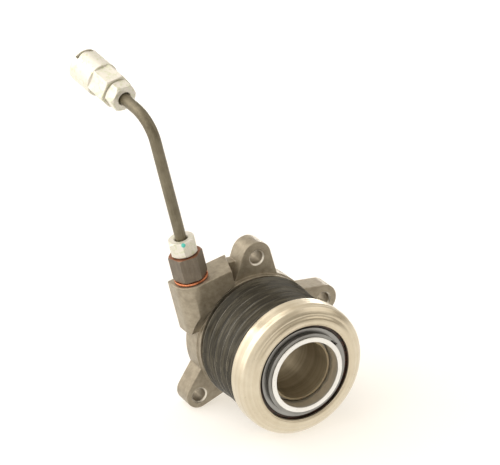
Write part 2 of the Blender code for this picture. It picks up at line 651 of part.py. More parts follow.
def preload_spring(finish):
    """Wire spring round the cylinder, closed at both ends, from the recess floor to the spring seat."""
    low = recess_floor + SEAT_GAP + SPRING_WIRE / 2
    high = seat_back - SEAT_GAP - SPRING_WIRE / 2
    radius = spring_inner + SPRING_WIRE / 2
    closed = SPRING_WIRE + SEAT_GAP
    open_pitch = (high - low - 2 * closed) / (SPRING_TURNS - 2)

    def rise(turns):
        if turns <= 1:
            return closed * turns
        if turns <= SPRING_TURNS - 1:
            return closed + open_pitch * (turns - 1)
        return high - low - closed * (SPRING_TURNS - turns)

    points = []
    for i in range(SPRING_TURNS * SPRING_FACETS + 1):
        turns = i / SPRING_FACETS
        angle = math.tau * turns
        points.append(Vector((radius * math.cos(angle), radius * math.sin(angle), low + rise(turns))))
    sweep("preload_spring", points, [SPRING_WIRE / 2] * len(points), None, SPRING_SIDES, main_frame, finish)


def spring_seat(finish):
    """Pressed plate behind the piston's flange that takes the spring and the bellows' front bead."""
    turned("spring_seat", plate(piston_radius + SEAT_GAP, boot_inner + BOOT_WALL / 2, seat_back, seat_front),
           WIDE_FACETS, main_frame, finish)


def dust_boot(finish):
    """Bellows from the collar's recess to the spring seat: a thin wall that follows its folds."""
    start = recess_floor + SEAT_GAP
    first = collar_front + SEAT_GAP
    last = seat_back - BOOT_WALL
    pitch = (last - first) / BOOT_FOLDS
    outer = [(cuff_radius, start), (cuff_radius, first)]
    inner = [(boot_inner, start), (boot_inner, first + BOOT_WALL / 2)]
    for i in range(BOOT_FOLDS):
        crest = cuff_radius + BOOT_FOLD + BOOT_TAPER * max(2 - i, 0)
        middle = first + pitch * (i + 0.5)
        outer += [(crest, middle - BOOT_WALL / 3), (crest, middle + BOOT_WALL / 3)]
        inner.append((crest - BOOT_WALL, middle))
        valley = first + pitch * (i + 1)
        if i < BOOT_FOLDS - 1:
            outer.append((cuff_radius, valley))
            inner.append((boot_inner, valley))
    bead_front = seat_front + SEAT_GAP + BOOT_BEAD
    groove = boot_inner + BOOT_WALL / 2 + SEAT_GAP
    outer += [(cuff_radius + BOOT_WALL / 2, last), (cuff_radius + BOOT_WALL / 2, bead_front)]
    inner += [(boot_inner, last - BOOT_WALL / 2), (boot_inner, seat_back - SEAT_GAP),
              (groove, seat_back - SEAT_GAP), (groove, seat_front + SEAT_GAP),
              (boot_inner, seat_front + SEAT_GAP), (boot_inner, bead_front)]
    turned("dust_boot", outer + list(reversed(inner)), WIDE_FACETS, main_frame, finish)


def inlet_union(copper, dark_steel, zinc):
    """Sealing washer, hexagonal adapter and the tube nut in it."""
    turned("copper_washer", plate(ADAPTER_SHANK_RADIUS + SEAT_GAP, WASHER_RADIUS, washer_foot,
                                  washer_foot + WASHER_THICKNESS), NARROW_FACETS, inlet_frame, copper)
    adapter = hex_piece("inlet_adapter", ADAPTER_FLATS, adapter_foot, adapter_top, inlet_frame, dark_steel,
                        ADAPTER_TURN)
    shank_foot = adapter_foot - ADAPTER_SHANK_LENGTH
    shank = drill(ADAPTER_SHANK_RADIUS, shank_foot, adapter_foot + BODY_CHAMFER, inlet_frame, NARROW_FACETS)
    combine(adapter, shank, "UNION")
    cut_flare_seat(adapter, adapter_top, thread_floor, shank_foot, -1, inlet_frame)
    tube_nut("inlet_tube_nut", nut_foot, INLET_NUT_HEIGHT, 1, inlet_frame, zinc)


def cut_flare_seat(piece, top, floor, far_end, way, frame):
    """Cuts a threaded bore, the cone that the flare seats on and the passage beyond it."""
    past = way * BODY_CHAMFER
    cone = floor + way * FLARE_SEAT_DEPTH
    combine(piece, turned("seat", [
        (0.0, top - past), (thread_radius, top - past), (thread_radius, floor), (PIPE_BORE_RADIUS, cone),
        (PIPE_BORE_RADIUS, far_end + past), (0.0, far_end + past)], NARROW_FACETS, frame, None), "DIFFERENCE")


def tube_nut(name, foot, height, way, frame, finish):
    """Flare nut: hexagon away from the seat, shank towards it. Way is the side the hexagon lies on."""
    hex_end = foot + way * height
    shank_end = foot - way * NUT_SHANK_LENGTH
    nut = hex_piece(name, NUT_FLATS, min(foot, hex_end), max(foot, hex_end), frame, finish, NUT_TURN,
                    NUT_CHAMFER)
    join = foot + way * NUT_CHAMFER
    shank = drill(NUT_SHANK_RADIUS, min(shank_end, join), max(shank_end, join), frame, NARROW_FACETS)
    combine(nut, shank, "UNION")
    low, high = min(hex_end, shank_end), max(hex_end, shank_end)
    combine(nut, drill(PIPE_RADIUS + SEAT_GAP, low - NUT_CHAMFER, high + NUT_CHAMFER, frame), "DIFFERENCE")


def pipe_route():
    """Straight run along the inlet, one bend towards the back, and the tail inside the socket's nut."""
    twist = math.radians(PIPE_BEND_TWIST)
    aside = Vector((-math.sin(twist), math.cos(twist), 0.0))
    up = Vector((0.0, 0.0, 1.0))
    centre = up * bend_start + aside * PIPE_BEND_RADIUS
    bend = math.radians(PIPE_BEND_ANGLE)
    arc = []
    for i in range(PIPE_BEND_FACETS + 1):
        angle = bend * i / PIPE_BEND_FACETS
        arc.append(centre + (up * math.sin(angle) - aside * math.cos(angle)) * PIPE_BEND_RADIUS)
    heading = up * math.cos(bend) + aside * math.sin(bend)
    return arc, heading, up * math.sin(bend) - aside * math.cos(bend)


def socket_placement():
    """Frame at the outer face of the socket's nut: Z along the socket, Y up out of the bend."""
    arc, heading, outward = pipe_route()
    origin = arc[-1] + heading * PIPE_TAIL
    side = outward.cross(heading)
    rows = Matrix((side, outward, heading)).transposed().to_4x4()
    return inlet_frame @ Matrix.Translation(origin) @ rows


def hydraulic_pipe(finish):
    """Steel pipe, open through its bore, with a flare at each end."""
    arc, heading, _ = pipe_route()
    up = Vector((0.0, 0.0, 1.0))
    flare_tip = up * pipe_start
    points = [flare_tip, flare_tip + up * FLARE_LAND, flare_tip + up * FLARE_LENGTH] + arc
    far = arc[-1] + heading * (PIPE_TAIL + pipe_end)
    points += [far - heading * FLARE_LENGTH, far - heading * FLARE_LAND, far]
    wide = PIPE_RADIUS + FLARE_REACH
    mouth = wide - FLARE_REACH / 4
    radii = [mouth, wide] + [PIPE_RADIUS] * (len(points) - 4) + [wide, mouth]
    bores = [PIPE_BORE_RADIUS] * len(points)
    sweep("hydraulic_pipe", points, radii, bores, PIPE_SIDES, inlet_frame, finish)


def socket_body(zinc, rubber, wire, place):
    """Female half of the pipe coupling, with its O-ring and wire latch."""
    body = hex_piece("connector_body", ADAPTER_FLATS, body_start, body_step + BODY_CHAMFER, place, zinc)
    barrel = turned("barrel", [
        (0.0, body_step), (BODY_RADIUS - BODY_CHAMFER, body_step), (BODY_RADIUS, body_step + BODY_CHAMFER),
        (BODY_RADIUS, mouth_station - BODY_CHAMFER), (BODY_RADIUS - BODY_CHAMFER, mouth_station),
        (0.0, mouth_station)], NARROW_FACETS, place, None)
    combine(body, barrel, "UNION")
    ring_low = socket_floor + SOCKET_RING_STATION
    groove = SOCKET_RADIUS - SEAT_GAP + SOCKET_RING_SECTION
    ring_high = ring_low + SOCKET_RING_SECTION + 2 * SEAT_GAP
    combine(body, turned("socket", [
        (0.0, socket_floor), (SOCKET_RADIUS, socket_floor), (SOCKET_RADIUS, ring_low),
        (groove, ring_low), (groove, ring_high), (SOCKET_RADIUS, ring_high),
        (SOCKET_RADIUS, mouth_station - BODY_CHAMFER),
        (SOCKET_RADIUS + 2 * BODY_CHAMFER, mouth_station + BODY_CHAMFER),
        (0.0, mouth_station + BODY_CHAMFER)], NARROW_FACETS, place, None), "DIFFERENCE")
    cut_flare_seat(body, body_start, body_thread_floor, socket_floor, 1, place)
    cut_latch_slot(body, place)
    half = SOCKET_RING_SECTION / 2
    turned("connector_o_ring", round_section(groove - SEAT_GAP - half, (ring_low + ring_high) / 2, half),
           NARROW_FACETS, place, rubber)
    latch(wire, place)


def cut_latch_slot(body, place):
    """A window over the crown of the latch and a slot down each side for its legs."""
    wire = LATCH_WIRE / 2
    low, high = latch_station - wire - SEAT_GAP, latch_station + wire + SEAT_GAP
    reach = LATCH_LEG_OFFSET + wire + SEAT_GAP
    top = BODY_RADIUS + BODY_CHAMFER
    window = [(-reach, 0.0), (reach, 0.0), (reach, top), (-reach, top)]
    combine(body, prism("window", window, low, high, place), "DIFFERENCE")
    for side in (-1, 1):
        near, far = sorted((side * (LATCH_LEG_OFFSET - wire - SEAT_GAP), side * reach))
        slot = [(near, -top), (far, -top), (far, BODY_CHAMFER), (near, BODY_CHAMFER)]
        combine(body, prism("slot", slot, low, high, place), "DIFFERENCE")


def latch(wire_finish, place):
    """Bent wire latch: two legs across the socket and a round crown in the window."""
    wire = LATCH_WIRE / 2
    crown_top = BODY_RADIUS - LATCH_CROWN_INSET - wire
    centre = crown_top - LATCH_LEG_OFFSET
    foot = -crown_top
    turns = [math.pi * i / LATCH_SIDES for i in range(LATCH_SIDES + 1)]
    arc = [Vector((LATCH_LEG_OFFSET * math.cos(a), centre + LATCH_LEG_OFFSET * math.sin(a), latch_station))
           for a in turns]
    points = [Vector((LATCH_LEG_OFFSET, foot, latch_station))] + arc
    points.append(Vector((-LATCH_LEG_OFFSET, foot, latch_station)))
    sweep("connector_clip", points, [wire] * len(points), None, LATCH_SIDES, place, wire_finish)


def build():
    clear_scene()
    aluminium = material("cast_aluminium", (0.42, 0.37, 0.31), 0.45, 0.6)
    champagne = material("nickel_plate", (0.66, 0.56, 0.42), 0.28, 1.0)
    bright = material("bright_steel", (0.80, 0.79, 0.76), 0.2, 1.0)
    grey = material("ground_steel", (0.42, 0.43, 0.44), 0.35, 1.0)
    dark = material("dark_plate", (0.20, 0.18, 0.15), 0.4, 0.8)
    zinc = material("zinc_plate", (0.80, 0.78, 0.66), 0.3, 0.9)
    olive = material("pipe_coating", (0.22, 0.20, 0.14), 0.45, 0.3)
    rubber = material("black_rubber", (0.035, 0.033, 0.030), 0.55, 0.0)
    plastic = material("cage_plastic", (0.10, 0.11, 0.10), 0.5, 0.0)
    copper = material("copper", (0.80, 0.42, 0.26), 0.3, 1.0)

    housing(aluminium)
    guide_sleeve(grey)
    sleeve_rings(rubber, grey)
    piston(bright)
    piston_rings(rubber)
    spring_seat(grey)
    preload_spring(grey)
    dust_boot(rubber)
    outer_ring(champagne)
    inner_ring(grey)
    bearing_seals(rubber, grey)
    ball_set(bright, plastic)
    wave_washer(grey)
    retaining_clip(grey)
    inlet_union(copper, dark, zinc)
    hydraulic_pipe(olive)
    place = socket_placement()
    tube_nut("connector_tube_nut", SOCKET_NUT_HEIGHT, SOCKET_NUT_HEIGHT, -1, place, zinc)
    socket_body(zinc, rubber, bright, place)


build()
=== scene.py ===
# Concentric slave cylinder lying on a white table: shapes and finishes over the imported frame.
# Metres throughout, +Z up, the bearing faces -Y.
# Sizes in the dictionaries are millimetres unless they say otherwise.
import math

import bmesh
import bpy
from mathutils import Matrix, Vector


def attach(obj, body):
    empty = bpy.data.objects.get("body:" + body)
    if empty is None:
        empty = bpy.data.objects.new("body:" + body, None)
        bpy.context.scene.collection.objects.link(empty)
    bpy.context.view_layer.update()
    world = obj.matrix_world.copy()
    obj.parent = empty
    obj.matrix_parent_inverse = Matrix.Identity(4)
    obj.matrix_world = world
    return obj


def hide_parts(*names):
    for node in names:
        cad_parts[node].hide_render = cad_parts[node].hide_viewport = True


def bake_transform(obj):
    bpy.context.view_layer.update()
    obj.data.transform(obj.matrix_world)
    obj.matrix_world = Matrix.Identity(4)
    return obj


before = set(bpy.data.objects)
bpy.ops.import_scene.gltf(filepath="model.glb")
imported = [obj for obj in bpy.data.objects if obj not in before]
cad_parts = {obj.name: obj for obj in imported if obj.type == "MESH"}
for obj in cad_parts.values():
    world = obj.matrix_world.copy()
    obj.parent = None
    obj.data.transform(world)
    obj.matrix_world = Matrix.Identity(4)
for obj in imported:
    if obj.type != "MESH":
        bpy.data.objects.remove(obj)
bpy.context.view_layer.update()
print("frame loaded with", len(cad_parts), "nodes")

mm = 0.001
axisPlace = Matrix.Rotation(math.radians(90), 4, "X")      # local Z runs from the flange to the bearing
inlet = {"tilt": -13.5, "offset": 24.0, "station": 7.5}    # degrees, then millimetres
inletPlace = Matrix.Rotation(math.radians(inlet["tilt"]), 4, "Y") \
    @ Matrix.Translation((-inlet["offset"] * mm, -inlet["station"] * mm, 0))


# camera
photoCamera = {
    "eye": (-0.35096, -0.63424, 0.35137),      # metres
    "azimuth": -29.2, "elevation": 22.5,       # degrees, as seen in the photograph
    "lens": 113.4, "sensor": 36.0,
}


def placeCamera(values):
    az, el = math.radians(values["azimuth"]), math.radians(values["elevation"])
    back = Vector((math.sin(az) * math.cos(el), -math.cos(az) * math.cos(el), math.sin(el)))
    right = Vector((math.cos(az), math.sin(az), 0))
    up = back.cross(right)
    data = bpy.data.cameras.new("photoCamera")
    data.lens = values["lens"]
    data.sensor_width = values["sensor"]
    data.clip_start, data.clip_end = 0.01, 20
    camera = bpy.data.objects.new("photoCamera", data)
    camera.matrix_world = Matrix.Translation(values["eye"]) @ Matrix((right, up, back)).transposed().to_4x4()
    bpy.context.scene.collection.objects.link(camera)
    bpy.context.scene.camera = camera


placeCamera(photoCamera)
print("camera placed")


# shader sums written as Python
def tint(red, green, blue):                    # 0 to 255 as a picture shows them, to a linear colour
    def linear(value):
        value /= 255
        return value / 12.92 if value <= 0.04045 else ((value + 0.055) / 1.055) ** 2.4
    return (linear(red), linear(green), linear(blue), 1.0)


class Signal:                                  # a socket that takes part in Python sums
    def __init__(self, finish, socket):
        self.finish, self.socket = finish, socket

    def __add__(self, other):
        return self.finish.maths("ADD", self, other)

    def __sub__(self, other):
        return self.finish.maths("SUBTRACT", self, other)

    def __mul__(self, other):
        return self.finish.maths("MULTIPLY", self, other)

    def __pow__(self, other):
        return self.finish.maths("POWER", self, other)

    def __rsub__(self, other):
        return self.finish.maths("SUBTRACT", other, self)

    def __neg__(self):
        return self.finish.maths("MULTIPLY", self, -1.0)

    __radd__ = __add__
    __rmul__ = __mul__


class Finish:                                  # one material, built node by node
    def __init__(self, name, world=None):
        self.material = world or bpy.data.materials.new(name)
        self.material.use_nodes = True
        self.tree = self.material.node_tree
        self.tree.nodes.clear()

    def node(self, kind, settings=None, values=None, out=0):
        made = self.tree.nodes.new(kind)
        for key, value in (settings or {}).items():
            setattr(made, key, value)
        for key, value in (values or {}).items():
            if isinstance(value, Signal):
                self.tree.links.new(value.socket, made.inputs[key])
            else:
                made.inputs[key].default_value = value
        return Signal(self, made.outputs[out]) if len(made.outputs) else made

    def maths(self, operation, first, second=0.0):
        return self.node("ShaderNodeMath", {"operation": operation}, {0: first, 1: second})

    def coords(self):
        return self.node("ShaderNodeTexCoord", out="Object")

    def split(self, vector):
        parts = self.node("ShaderNodeSeparateXYZ", values={0: vector}).socket.node.outputs
        return [Signal(self, part) for part in parts]

    def join(self, x, y, z):
        return self.node("ShaderNodeCombineXYZ", values={0: x, 1: y, 2: z})

    def stretch(self, vector, scale):
        return self.node("ShaderNodeVectorMath", {"operation": "MULTIPLY"}, {0: vector, 1: scale})

    def noise(self, vector, scale, detail=3.0, roughness=0.5):
        values = {"Vector": vector, "Scale": scale, "Detail": detail, "Roughness": roughness}
        return self.node("ShaderNodeTexNoise", values=values, out="Fac")

    def cells(self, vector, scale):
        values = {"Vector": vector, "Scale": scale}
        return self.node("ShaderNodeTexVoronoi", {"feature": "F1"}, values, "Distance")

    def between(self, value, low, high, toLow=0.0, toHigh=1.0):    # clamped remap
        values = {"Value": value, "From Min": low, "From Max": high, "To Min": toLow, "To Max": toHigh}
        return self.node("ShaderNodeMapRange", {"clamp": True}, values)

    def blend(self, factor, first, second):
        return self.node("ShaderNodeMix", {"data_type": "RGBA"}, {0: factor, 6: first, 7: second}, 2)

    def bump(self, height, distance, strength, normal=None):
        values = {"Height": height, "Distance": distance, "Strength": strength}
        if normal:
            values["Normal"] = normal
        return self.node("ShaderNodeBump", values=values)

    def softEdge(self, radius):                # normals rounded over an edge, and a mask of that edge
        soft = self.node("ShaderNodeBevel", {"samples": 6}, {"Radius": radius})
        plain = self.node("ShaderNodeNewGeometry", out="Normal")
        settings = {"operation": "DOT_PRODUCT"}
        facing = self.node("ShaderNodeVectorMath", settings, {0: soft, 1: plain}, "Value")
        return soft, self.between(1 - facing, 0.02, 0.25)

    def surface(self, **sockets):
        values = {key.replace("_", " "): value for key, value in sockets.items()}
        shader = self.node("ShaderNodeBsdfPrincipled", values=values)
        self.node("ShaderNodeOutputMaterial", values={"Surface": shader})
        return self.material


# finishes
castLook = {
    "dark": tint(138, 127, 109), "light": tint(166, 155, 135),
    # edge: pale rims, part rub wear and part painted highlight
    "edge": tint(222, 213, 196), "dirt": tint(84, 73, 58),
    "metal": 0.6, "rough": 0.42, "grain": 0.05 * mm,
    "machined": tint(232, 225, 211), "wall": 3.5 * mm, "rim": 4.25 * mm,
    "holes": (88.7, 14.0, 219.9), "holeCircle": 41.6 * mm,    # degrees, then metres
}


def castAluminium(look):                       # die-cast skin: mottled, faintly pitted, pale on its edges from rub wear and painted highlight along the rims
    f = Finish("castAluminium")
    place = f.coords()
    soft, edge = f.softEdge(0.45 * mm)
    mottle = f.noise(place, 330, 4, 0.65)
    cloud = f.noise(place, 40, 2)
    grain = f.noise(place, 1500, 2, 0.7)
    pits = f.between(f.cells(place, 620), 0.0, 0.16)
    rub = edge * f.between(f.noise(place, 260, 3), 0.35, 0.62)
    colour = f.blend(f.between(mottle * 0.75 + cloud * 0.25, 0.36, 0.64), look["dark"], look["light"])
    grime = f.between(f.noise(place, 150, 5, 0.7), 0.58, 0.76, 0.0, 0.4)
    colour = f.blend(grime, colour, look["dirt"])
    # pale edges: part rub wear, part painted highlight along the rims
    colour = f.blend(rub * 0.95, colour, look["edge"])
    x, y, _ = f.split(place)
    for angle in look["holes"]:                # the chamfers of the drilled holes are bare metal
        spot = Matrix.Rotation(math.radians(angle), 2) @ Vector((look["holeCircle"], 0))
        away = ((x - spot.x) ** 2 + (y - spot.y) ** 2) ** 0.5
        turned = f.between(away, look["wall"], look["wall"] + 0.1 * mm) \
            * f.between(away, look["rim"] - 0.1 * mm, look["rim"], 0.9, 0.0)
        colour = f.blend(turned, colour, look["machined"])
    height = grain * 0.7 + pits * 0.5 + mottle * 0.6
    rough = f.between(grain * 0.5 + mottle * 0.5, 0.3, 0.7, look["rough"] - 0.07, look["rough"] + 0.1)
    return f.surface(
        Base_Color=colour, Metallic=look["metal"], Roughness=rough - rub * 0.12,
        Normal=f.bump(height, look["grain"], 0.8, soft))


turnedLook = {
    "nickel": {"base": tint(222, 211, 189), "other": tint(200, 186, 160), "metal": 0.94, "rough": 0.3,
               "line": 0.016 * mm, "pitch": 4200, "haze": 0.5},
    "bright": {"base": tint(242, 240, 235), "other": tint(229, 225, 217), "metal": 0.8, "rough": 0.36,
               "line": 0.006 * mm, "pitch": 6000, "haze": 0.3},
    "ground": {"base": tint(168, 166, 162), "other": tint(128, 126, 121), "metal": 0.95, "rough": 0.36,
               "line": 0.008 * mm, "pitch": 7000, "haze": 0.6},
    "tube": {"base": tint(170, 156, 129), "other": tint(136, 123, 98), "metal": 0.55, "rough": 0.44,
             "line": 0.006 * mm, "pitch": 3800, "haze": 0.6},
}


def turnedSteel(name, look, mouth=None):       # lathe lines run round the piece's own Z
    f = Finish(name)
    place = f.coords()
    x, y, z = f.split(place)
    radius = (x * x + y * y) ** 0.5
    around = f.join(radius, z, 0.0)
    lines = f.noise(around, look["pitch"], 1, 0.6)
    bands = f.noise(around, look["pitch"] / 9, 3, 0.6)
    smear = f.noise(f.stretch(place, (1, 1, 0.35)), 120, 4, 0.6)
    spots = f.between(f.noise(place, 900, 2), 0.66, 0.74)
    shade = f.between(bands * 0.6 + smear * 0.4, 0.35, 0.66)
    colour = f.blend(shade, look["other"], look["base"])
    colour = f.blend(spots * 0.25, colour, tint(96, 84, 66))
    if mouth:                                  # the bore behind the ground nose keeps its darker skin
        inside = f.between(z, mouth["from"] - 0.4 * mm, mouth["from"], 1.0, 0.0)
        colour = f.blend(inside * 0.85, colour, mouth["colour"])
    uneven = smear * look["haze"] + lines * 0.4
    rough = f.between(uneven, 0.2, 0.8, look["rough"] - 0.06, look["rough"] + 0.12)
    height = lines * 0.6 + bands * 1.2
    return f.surface(Base_Color=colour, Metallic=look["metal"], Roughness=rough,
                     Normal=f.bump(height, look["line"], 0.9))


rubberLook = {
    "black": {"base": tint(38, 34, 25), "pale": tint(78, 72, 58), "rough": 0.23, "grain": 0.03 * mm,
              # the pale crest colour is a painted highlight along the bellows crests
              "crestGlint": tint(172, 164, 148), "gloss": tint(255, 246, 226), "sheen": 0.4},
    "greased": {"base": tint(34, 30, 27), "pale": tint(92, 58, 44), "rough": 0.3, "grain": 0.06 * mm,
                "gloss": tint(255, 250, 240), "sheen": 0.1},
    "seal": {"base": tint(40, 37, 34), "pale": tint(66, 60, 54), "rough": 0.45, "grain": 0.02 * mm,
             "gloss": tint(255, 250, 240), "sheen": 0.1},
}


def mouldedRubber(name, look, folded=False):   # satin rubber with streaks drawn round it and a little dust
    f = Finish(name)
    place = f.coords()
    x, y, z = f.split(place)
    if folded:                                 # the bellows mesh is baked into the shared frame, so it lies there
        y, z = z, -y
    radius = (x * x + y * y) ** 0.5
    turn = f.node("ShaderNodeMath", {"operation": "ARCTAN2"}, {0: y, 1: x})
    streaks = f.noise(f.join(radius * 900, turn * 3.5, z * 1100), 1.0, 4, 0.6)
    rings = f.noise(f.join(turn * 1.3, radius * 500, z * 900), 1.0, 4, 0.65)
    cloud = f.noise(place, 70, 3)
    grain = f.noise(place, 2600, 2, 0.6)
    dust = f.between(f.noise(place, 1300, 3, 0.7), 0.66, 0.8)
    drawn = f.between(streaks * 0.4 + rings * 0.5 + cloud * 0.1, 0.45, 0.62)
    colour = f.blend(drawn, look["base"], look["pale"])
    colour = f.blend(dust * 0.35, colour, tint(150, 144, 132))
    rough = f.between(streaks * 0.6 + cloud * 0.4, 0.3, 0.7, look["rough"] - 0.1, look["rough"] + 0.12)
    if folded:                                 # painted highlight on the crests, strongest on the lit left; painted shade in the valleys
        crest = f.node("ShaderNodeAttribute", {"attribute_name": "crest"}, out="Fac")
        patchy = f.noise(f.join(radius * 60, turn * 2.2, z * 90), 1.0, 4, 0.65)
        crestGlint = f.between(crest, 0.955, 0.99) * f.between(patchy, 0.38, 0.62, 0.05, 1.0)
        # the painted crest highlight is strongest on the left, where the light falls
        crestGlint = crestGlint * f.between(x, -26 * mm, -6 * mm, 1.0, 0.2)
        colour = f.blend(crestGlint * 0.9, colour, look["crestGlint"])
        # painted shade darkens the valleys
        colour = f.blend(f.between(crest, 0.0, 0.35, 0.7, 0.0), colour, tint(20, 18, 16))
    return f.surface(Base_Color=colour, Roughness=rough, Specular_IOR_Level=0.35,
                     Specular_Tint=look["gloss"], Coat_Weight=look["sheen"], Coat_Roughness=0.18,
                     Normal=f.bump(grain * 0.4 + streaks * 0.8 + rings * 1.6, look["grain"], 0.9))


platedLook = {
    "phosphate": {"base": tint(124, 113, 98), "other": tint(96, 86, 73), "edge": tint(200, 188, 168),
                  "metal": 0.5, "rough": 0.4},
    "zinc": {"base": tint(226, 219, 209), "other": tint(210, 206, 192), "edge": tint(240, 236, 230),
             "metal": 0.35, "rough": 0.36, "bloom": tint(196, 198, 162)},
    "olive": {"base": tint(128, 119, 99), "other": tint(100, 92, 74), "edge": tint(156, 147, 126),
              "metal": 0.6, "rough": 0.36},
    "copper": {"base": tint(226, 150, 110), "other": tint(186, 108, 72), "edge": tint(246, 196, 160),
               "metal": 1.0, "rough": 0.28},
    "wire": {"base": tint(190, 188, 180), "other": tint(150, 147, 138), "edge": tint(214, 212, 206),
             "metal": 1.0, "rough": 0.28},
}


def platedSteel(name, look, mark=None, stain=None):    # plating drawn along the piece, worn pale on its edges
    f = Finish(name)
    place = f.coords()
    soft, edge = f.softEdge(0.3 * mm)
    draw = f.noise(f.stretch(place, (1400, 1400, 130)), 1.0, 3, 0.6)
    cloud = f.noise(place, 160, 4, 0.65)
    grain = f.noise(place, 3200, 2, 0.6)
    rub = edge * f.between(f.noise(place, 420, 3), 0.3, 0.6)
    colour = f.blend(f.between(draw * 0.45 + cloud * 0.55, 0.36, 0.66), look["other"], look["base"])
    if "bloom" in look:                        # plating gone patchy
        colour = f.blend(f.between(f.noise(place, 480, 4, 0.7), 0.5, 0.64, 0.0, 0.75), colour, look["bloom"])
    colour = f.blend(rub * 0.7, colour, look["edge"])
    if stain:                                  # the rim that the nut sits in has browned
        height = f.split(place)[2]
        browned = f.between(height, stain["from"], stain["from"] + 0.15 * mm)
        browned = browned * f.between(cloud, 0.25, 0.5, 0.4, 1.0)
        colour = f.blend(browned, colour, stain["colour"])
    rough = f.between(draw * 0.5 + cloud * 0.5, 0.3, 0.7, look["rough"] - 0.07, look["rough"] + 0.12)
    metal = look["metal"]
    if mark:                                   # a dab of paint: place and size in the piece's own frame
        spot = f.node("ShaderNodeVectorMath", {"operation": "DISTANCE"}, {0: place, 1: mark["at"]}, "Value")
        ragged = spot + (cloud - 0.5) * mark["size"] * 0.5
        paint = f.between(ragged, mark["size"] * 0.85, mark["size"], 1.0, 0.0)
        colour = f.blend(paint, colour, mark["colour"])
        metal = (1 - paint) * look["metal"]
        rough = rough + paint * 0.12
    return f.surface(Base_Color=colour, Metallic=metal, Roughness=rough,
                     Normal=f.bump(draw * 0.8 + grain * 0.5, 0.008 * mm, 0.8, soft))


def cagePlastic():
    f = Finish("cagePlastic")
    place = f.coords()
    flow = f.noise(place, 240, 3)
    grain = f.noise(place, 2400, 2)
    return f.surface(Base_Color=f.blend(f.between(flow, 0.3, 0.7), tint(42, 44, 41), tint(58, 60, 56)),
                     Roughness=f.between(flow, 0.3, 0.7, 0.42, 0.58), Normal=f.bump(grain, 0.01 * mm, 0.7))


paintDab = {"at": (-2.9 * mm, -5.8 * mm, 65.4 * mm), "size": 1.2 * mm, "colour": tint(84, 190, 176)}
adapterRim = {"from": 57.75 * mm, "colour": tint(136, 88, 62)}
noseWall = {"from": 62.2 * mm, "colour": tint(238, 228, 208)}

cast = castAluminium(castLook)
nickel = turnedSteel("nickelPlate", turnedLook["nickel"])
bright = turnedSteel("brightSteel", turnedLook["bright"])
pistonSteel = turnedSteel("pistonSteel", turnedLook["bright"], noseWall)
ground = turnedSteel("groundSteel", turnedLook["ground"])
tube = turnedSteel("guideTubeSteel", turnedLook["tube"])
bootRubber = mouldedRubber("bootRubber", rubberLook["black"], True)
sealRubber = mouldedRubber("sealRubber", rubberLook["seal"])
greasedRubber = mouldedRubber("greasedRubber", rubberLook["greased"])
stainedPhosphate = platedSteel("darkPhosphate", platedLook["phosphate"], stain=adapterRim)
zinc = platedSteel("zincPlate", platedLook["zinc"])
zincDabbed = platedSteel("zincPlateDabbed", platedLook["zinc"], paintDab)
olive = platedSteel("pipePlating", platedLook["olive"])
copper = platedSteel("copper", platedLook["copper"])
wire = platedSteel("springWire", platedLook["wire"])
cagePlate = cagePlastic()
print("finishes made")


# mesh tools
def makePiece(name, bm, place, material, smooth=35.0):
    bmesh.ops.remove_doubles(bm, verts=bm.verts, dist=1e-7)
    bmesh.ops.recalc_face_normals(bm, faces=bm.faces)
    mesh = bpy.data.meshes.new(name)
    bm.to_mesh(mesh)
    bm.free()
    if material:
        mesh.materials.append(material)
    piece = bpy.data.objects.new(name, mesh)
    piece.matrix_world = place
    bpy.context.scene.collection.objects.link(piece)
    shadeSmooth(piece, smooth)
    return piece


def shadeSmooth(piece, angle):
    piece.data.shade_smooth()
    piece.data.set_sharp_from_angle(angle=math.radians(angle))


def roundCorners(points, radius, steps=4):     # rounds each corner of a closed outline
    rounded = []
    count = len(points)
    for i in range(count):
        here = Vector(points[i])
        before = Vector(points[i - 1]) - here
        after = Vector(points[(i + 1) % count]) - here
        turn = before.angle(after)
        reach = min(radius / max(math.tan(turn / 2), 0.05), before.length * 0.45, after.length * 0.45)
        if here.x == 0 or turn > math.radians(172):
            rounded.append(tuple(here))
            continue
        start, end = here + before.normalized() * reach, here + after.normalized() * reach
        for k in range(steps + 1):
            t = k / steps
            rounded.append(tuple((1 - t) ** 2 * start + 2 * t * (1 - t) * here + t * t * end))
    return rounded


def spinOutline(bm, points, steps):            # a closed outline, or one that begins and ends on the axis
    corners = [bm.verts.new((r * mm, 0, z * mm)) for r, z in points]
    first = 1 if points[0][0] == 0 else 0
    edges = [bm.edges.new((corners[i - 1], corners[i])) for i in range(first, len(corners))]
    bmesh.ops.spin(bm, geom=corners + edges, cent=(0, 0, 0), axis=(0, 0, 1), dvec=(0, 0, 0), angle=math.tau,
                   steps=steps, use_merge=True, use_duplicate=False)


def turnPiece(name, points, place, material, steps=160, radius=0.15, smooth=35.0):
    bm = bmesh.new()
    spinOutline(bm, roundCorners(points, radius) if radius else points, steps)
    return makePiece(name, bm, place, material, smooth)


def raisePlan(name, outline, low, high, place, material=None, edge=0.0, bothEnds=False):
    bm = bmesh.new()
    floor = bm.faces.new([bm.verts.new((x * mm, y * mm, low * mm)) for x, y in outline])
    raised = bmesh.ops.extrude_face_region(bm, geom=[floor], use_keep_orig=True)
    top = [v for v in raised["geom"] if isinstance(v, bmesh.types.BMVert)]
    bmesh.ops.translate(bm, verts=top, vec=(0, 0, (high - low) * mm))
    bmesh.ops.recalc_face_normals(bm, faces=bm.faces)
    if edge:
        rims = [e for e in bm.edges if all(v in top for v in e.verts)]
        if bothEnds:
            rims += [e for e in bm.edges if not any(v in top for v in e.verts)]
        bmesh.ops.bevel(bm, geom=rims, offset=edge * mm, segments=3, profile=0.5, affect="EDGES")
    return makePiece(name, bm, place, material)


def combine(target, tool, operation="DIFFERENCE"):
    step = target.modifiers.new("step", "BOOLEAN")
    step.object, step.operation, step.solver = tool, operation, "EXACT"
    bpy.context.view_layer.objects.active = target
    bpy.ops.object.modifier_apply(modifier=step.name)
    bpy.data.objects.remove(tool, do_unlink=True)


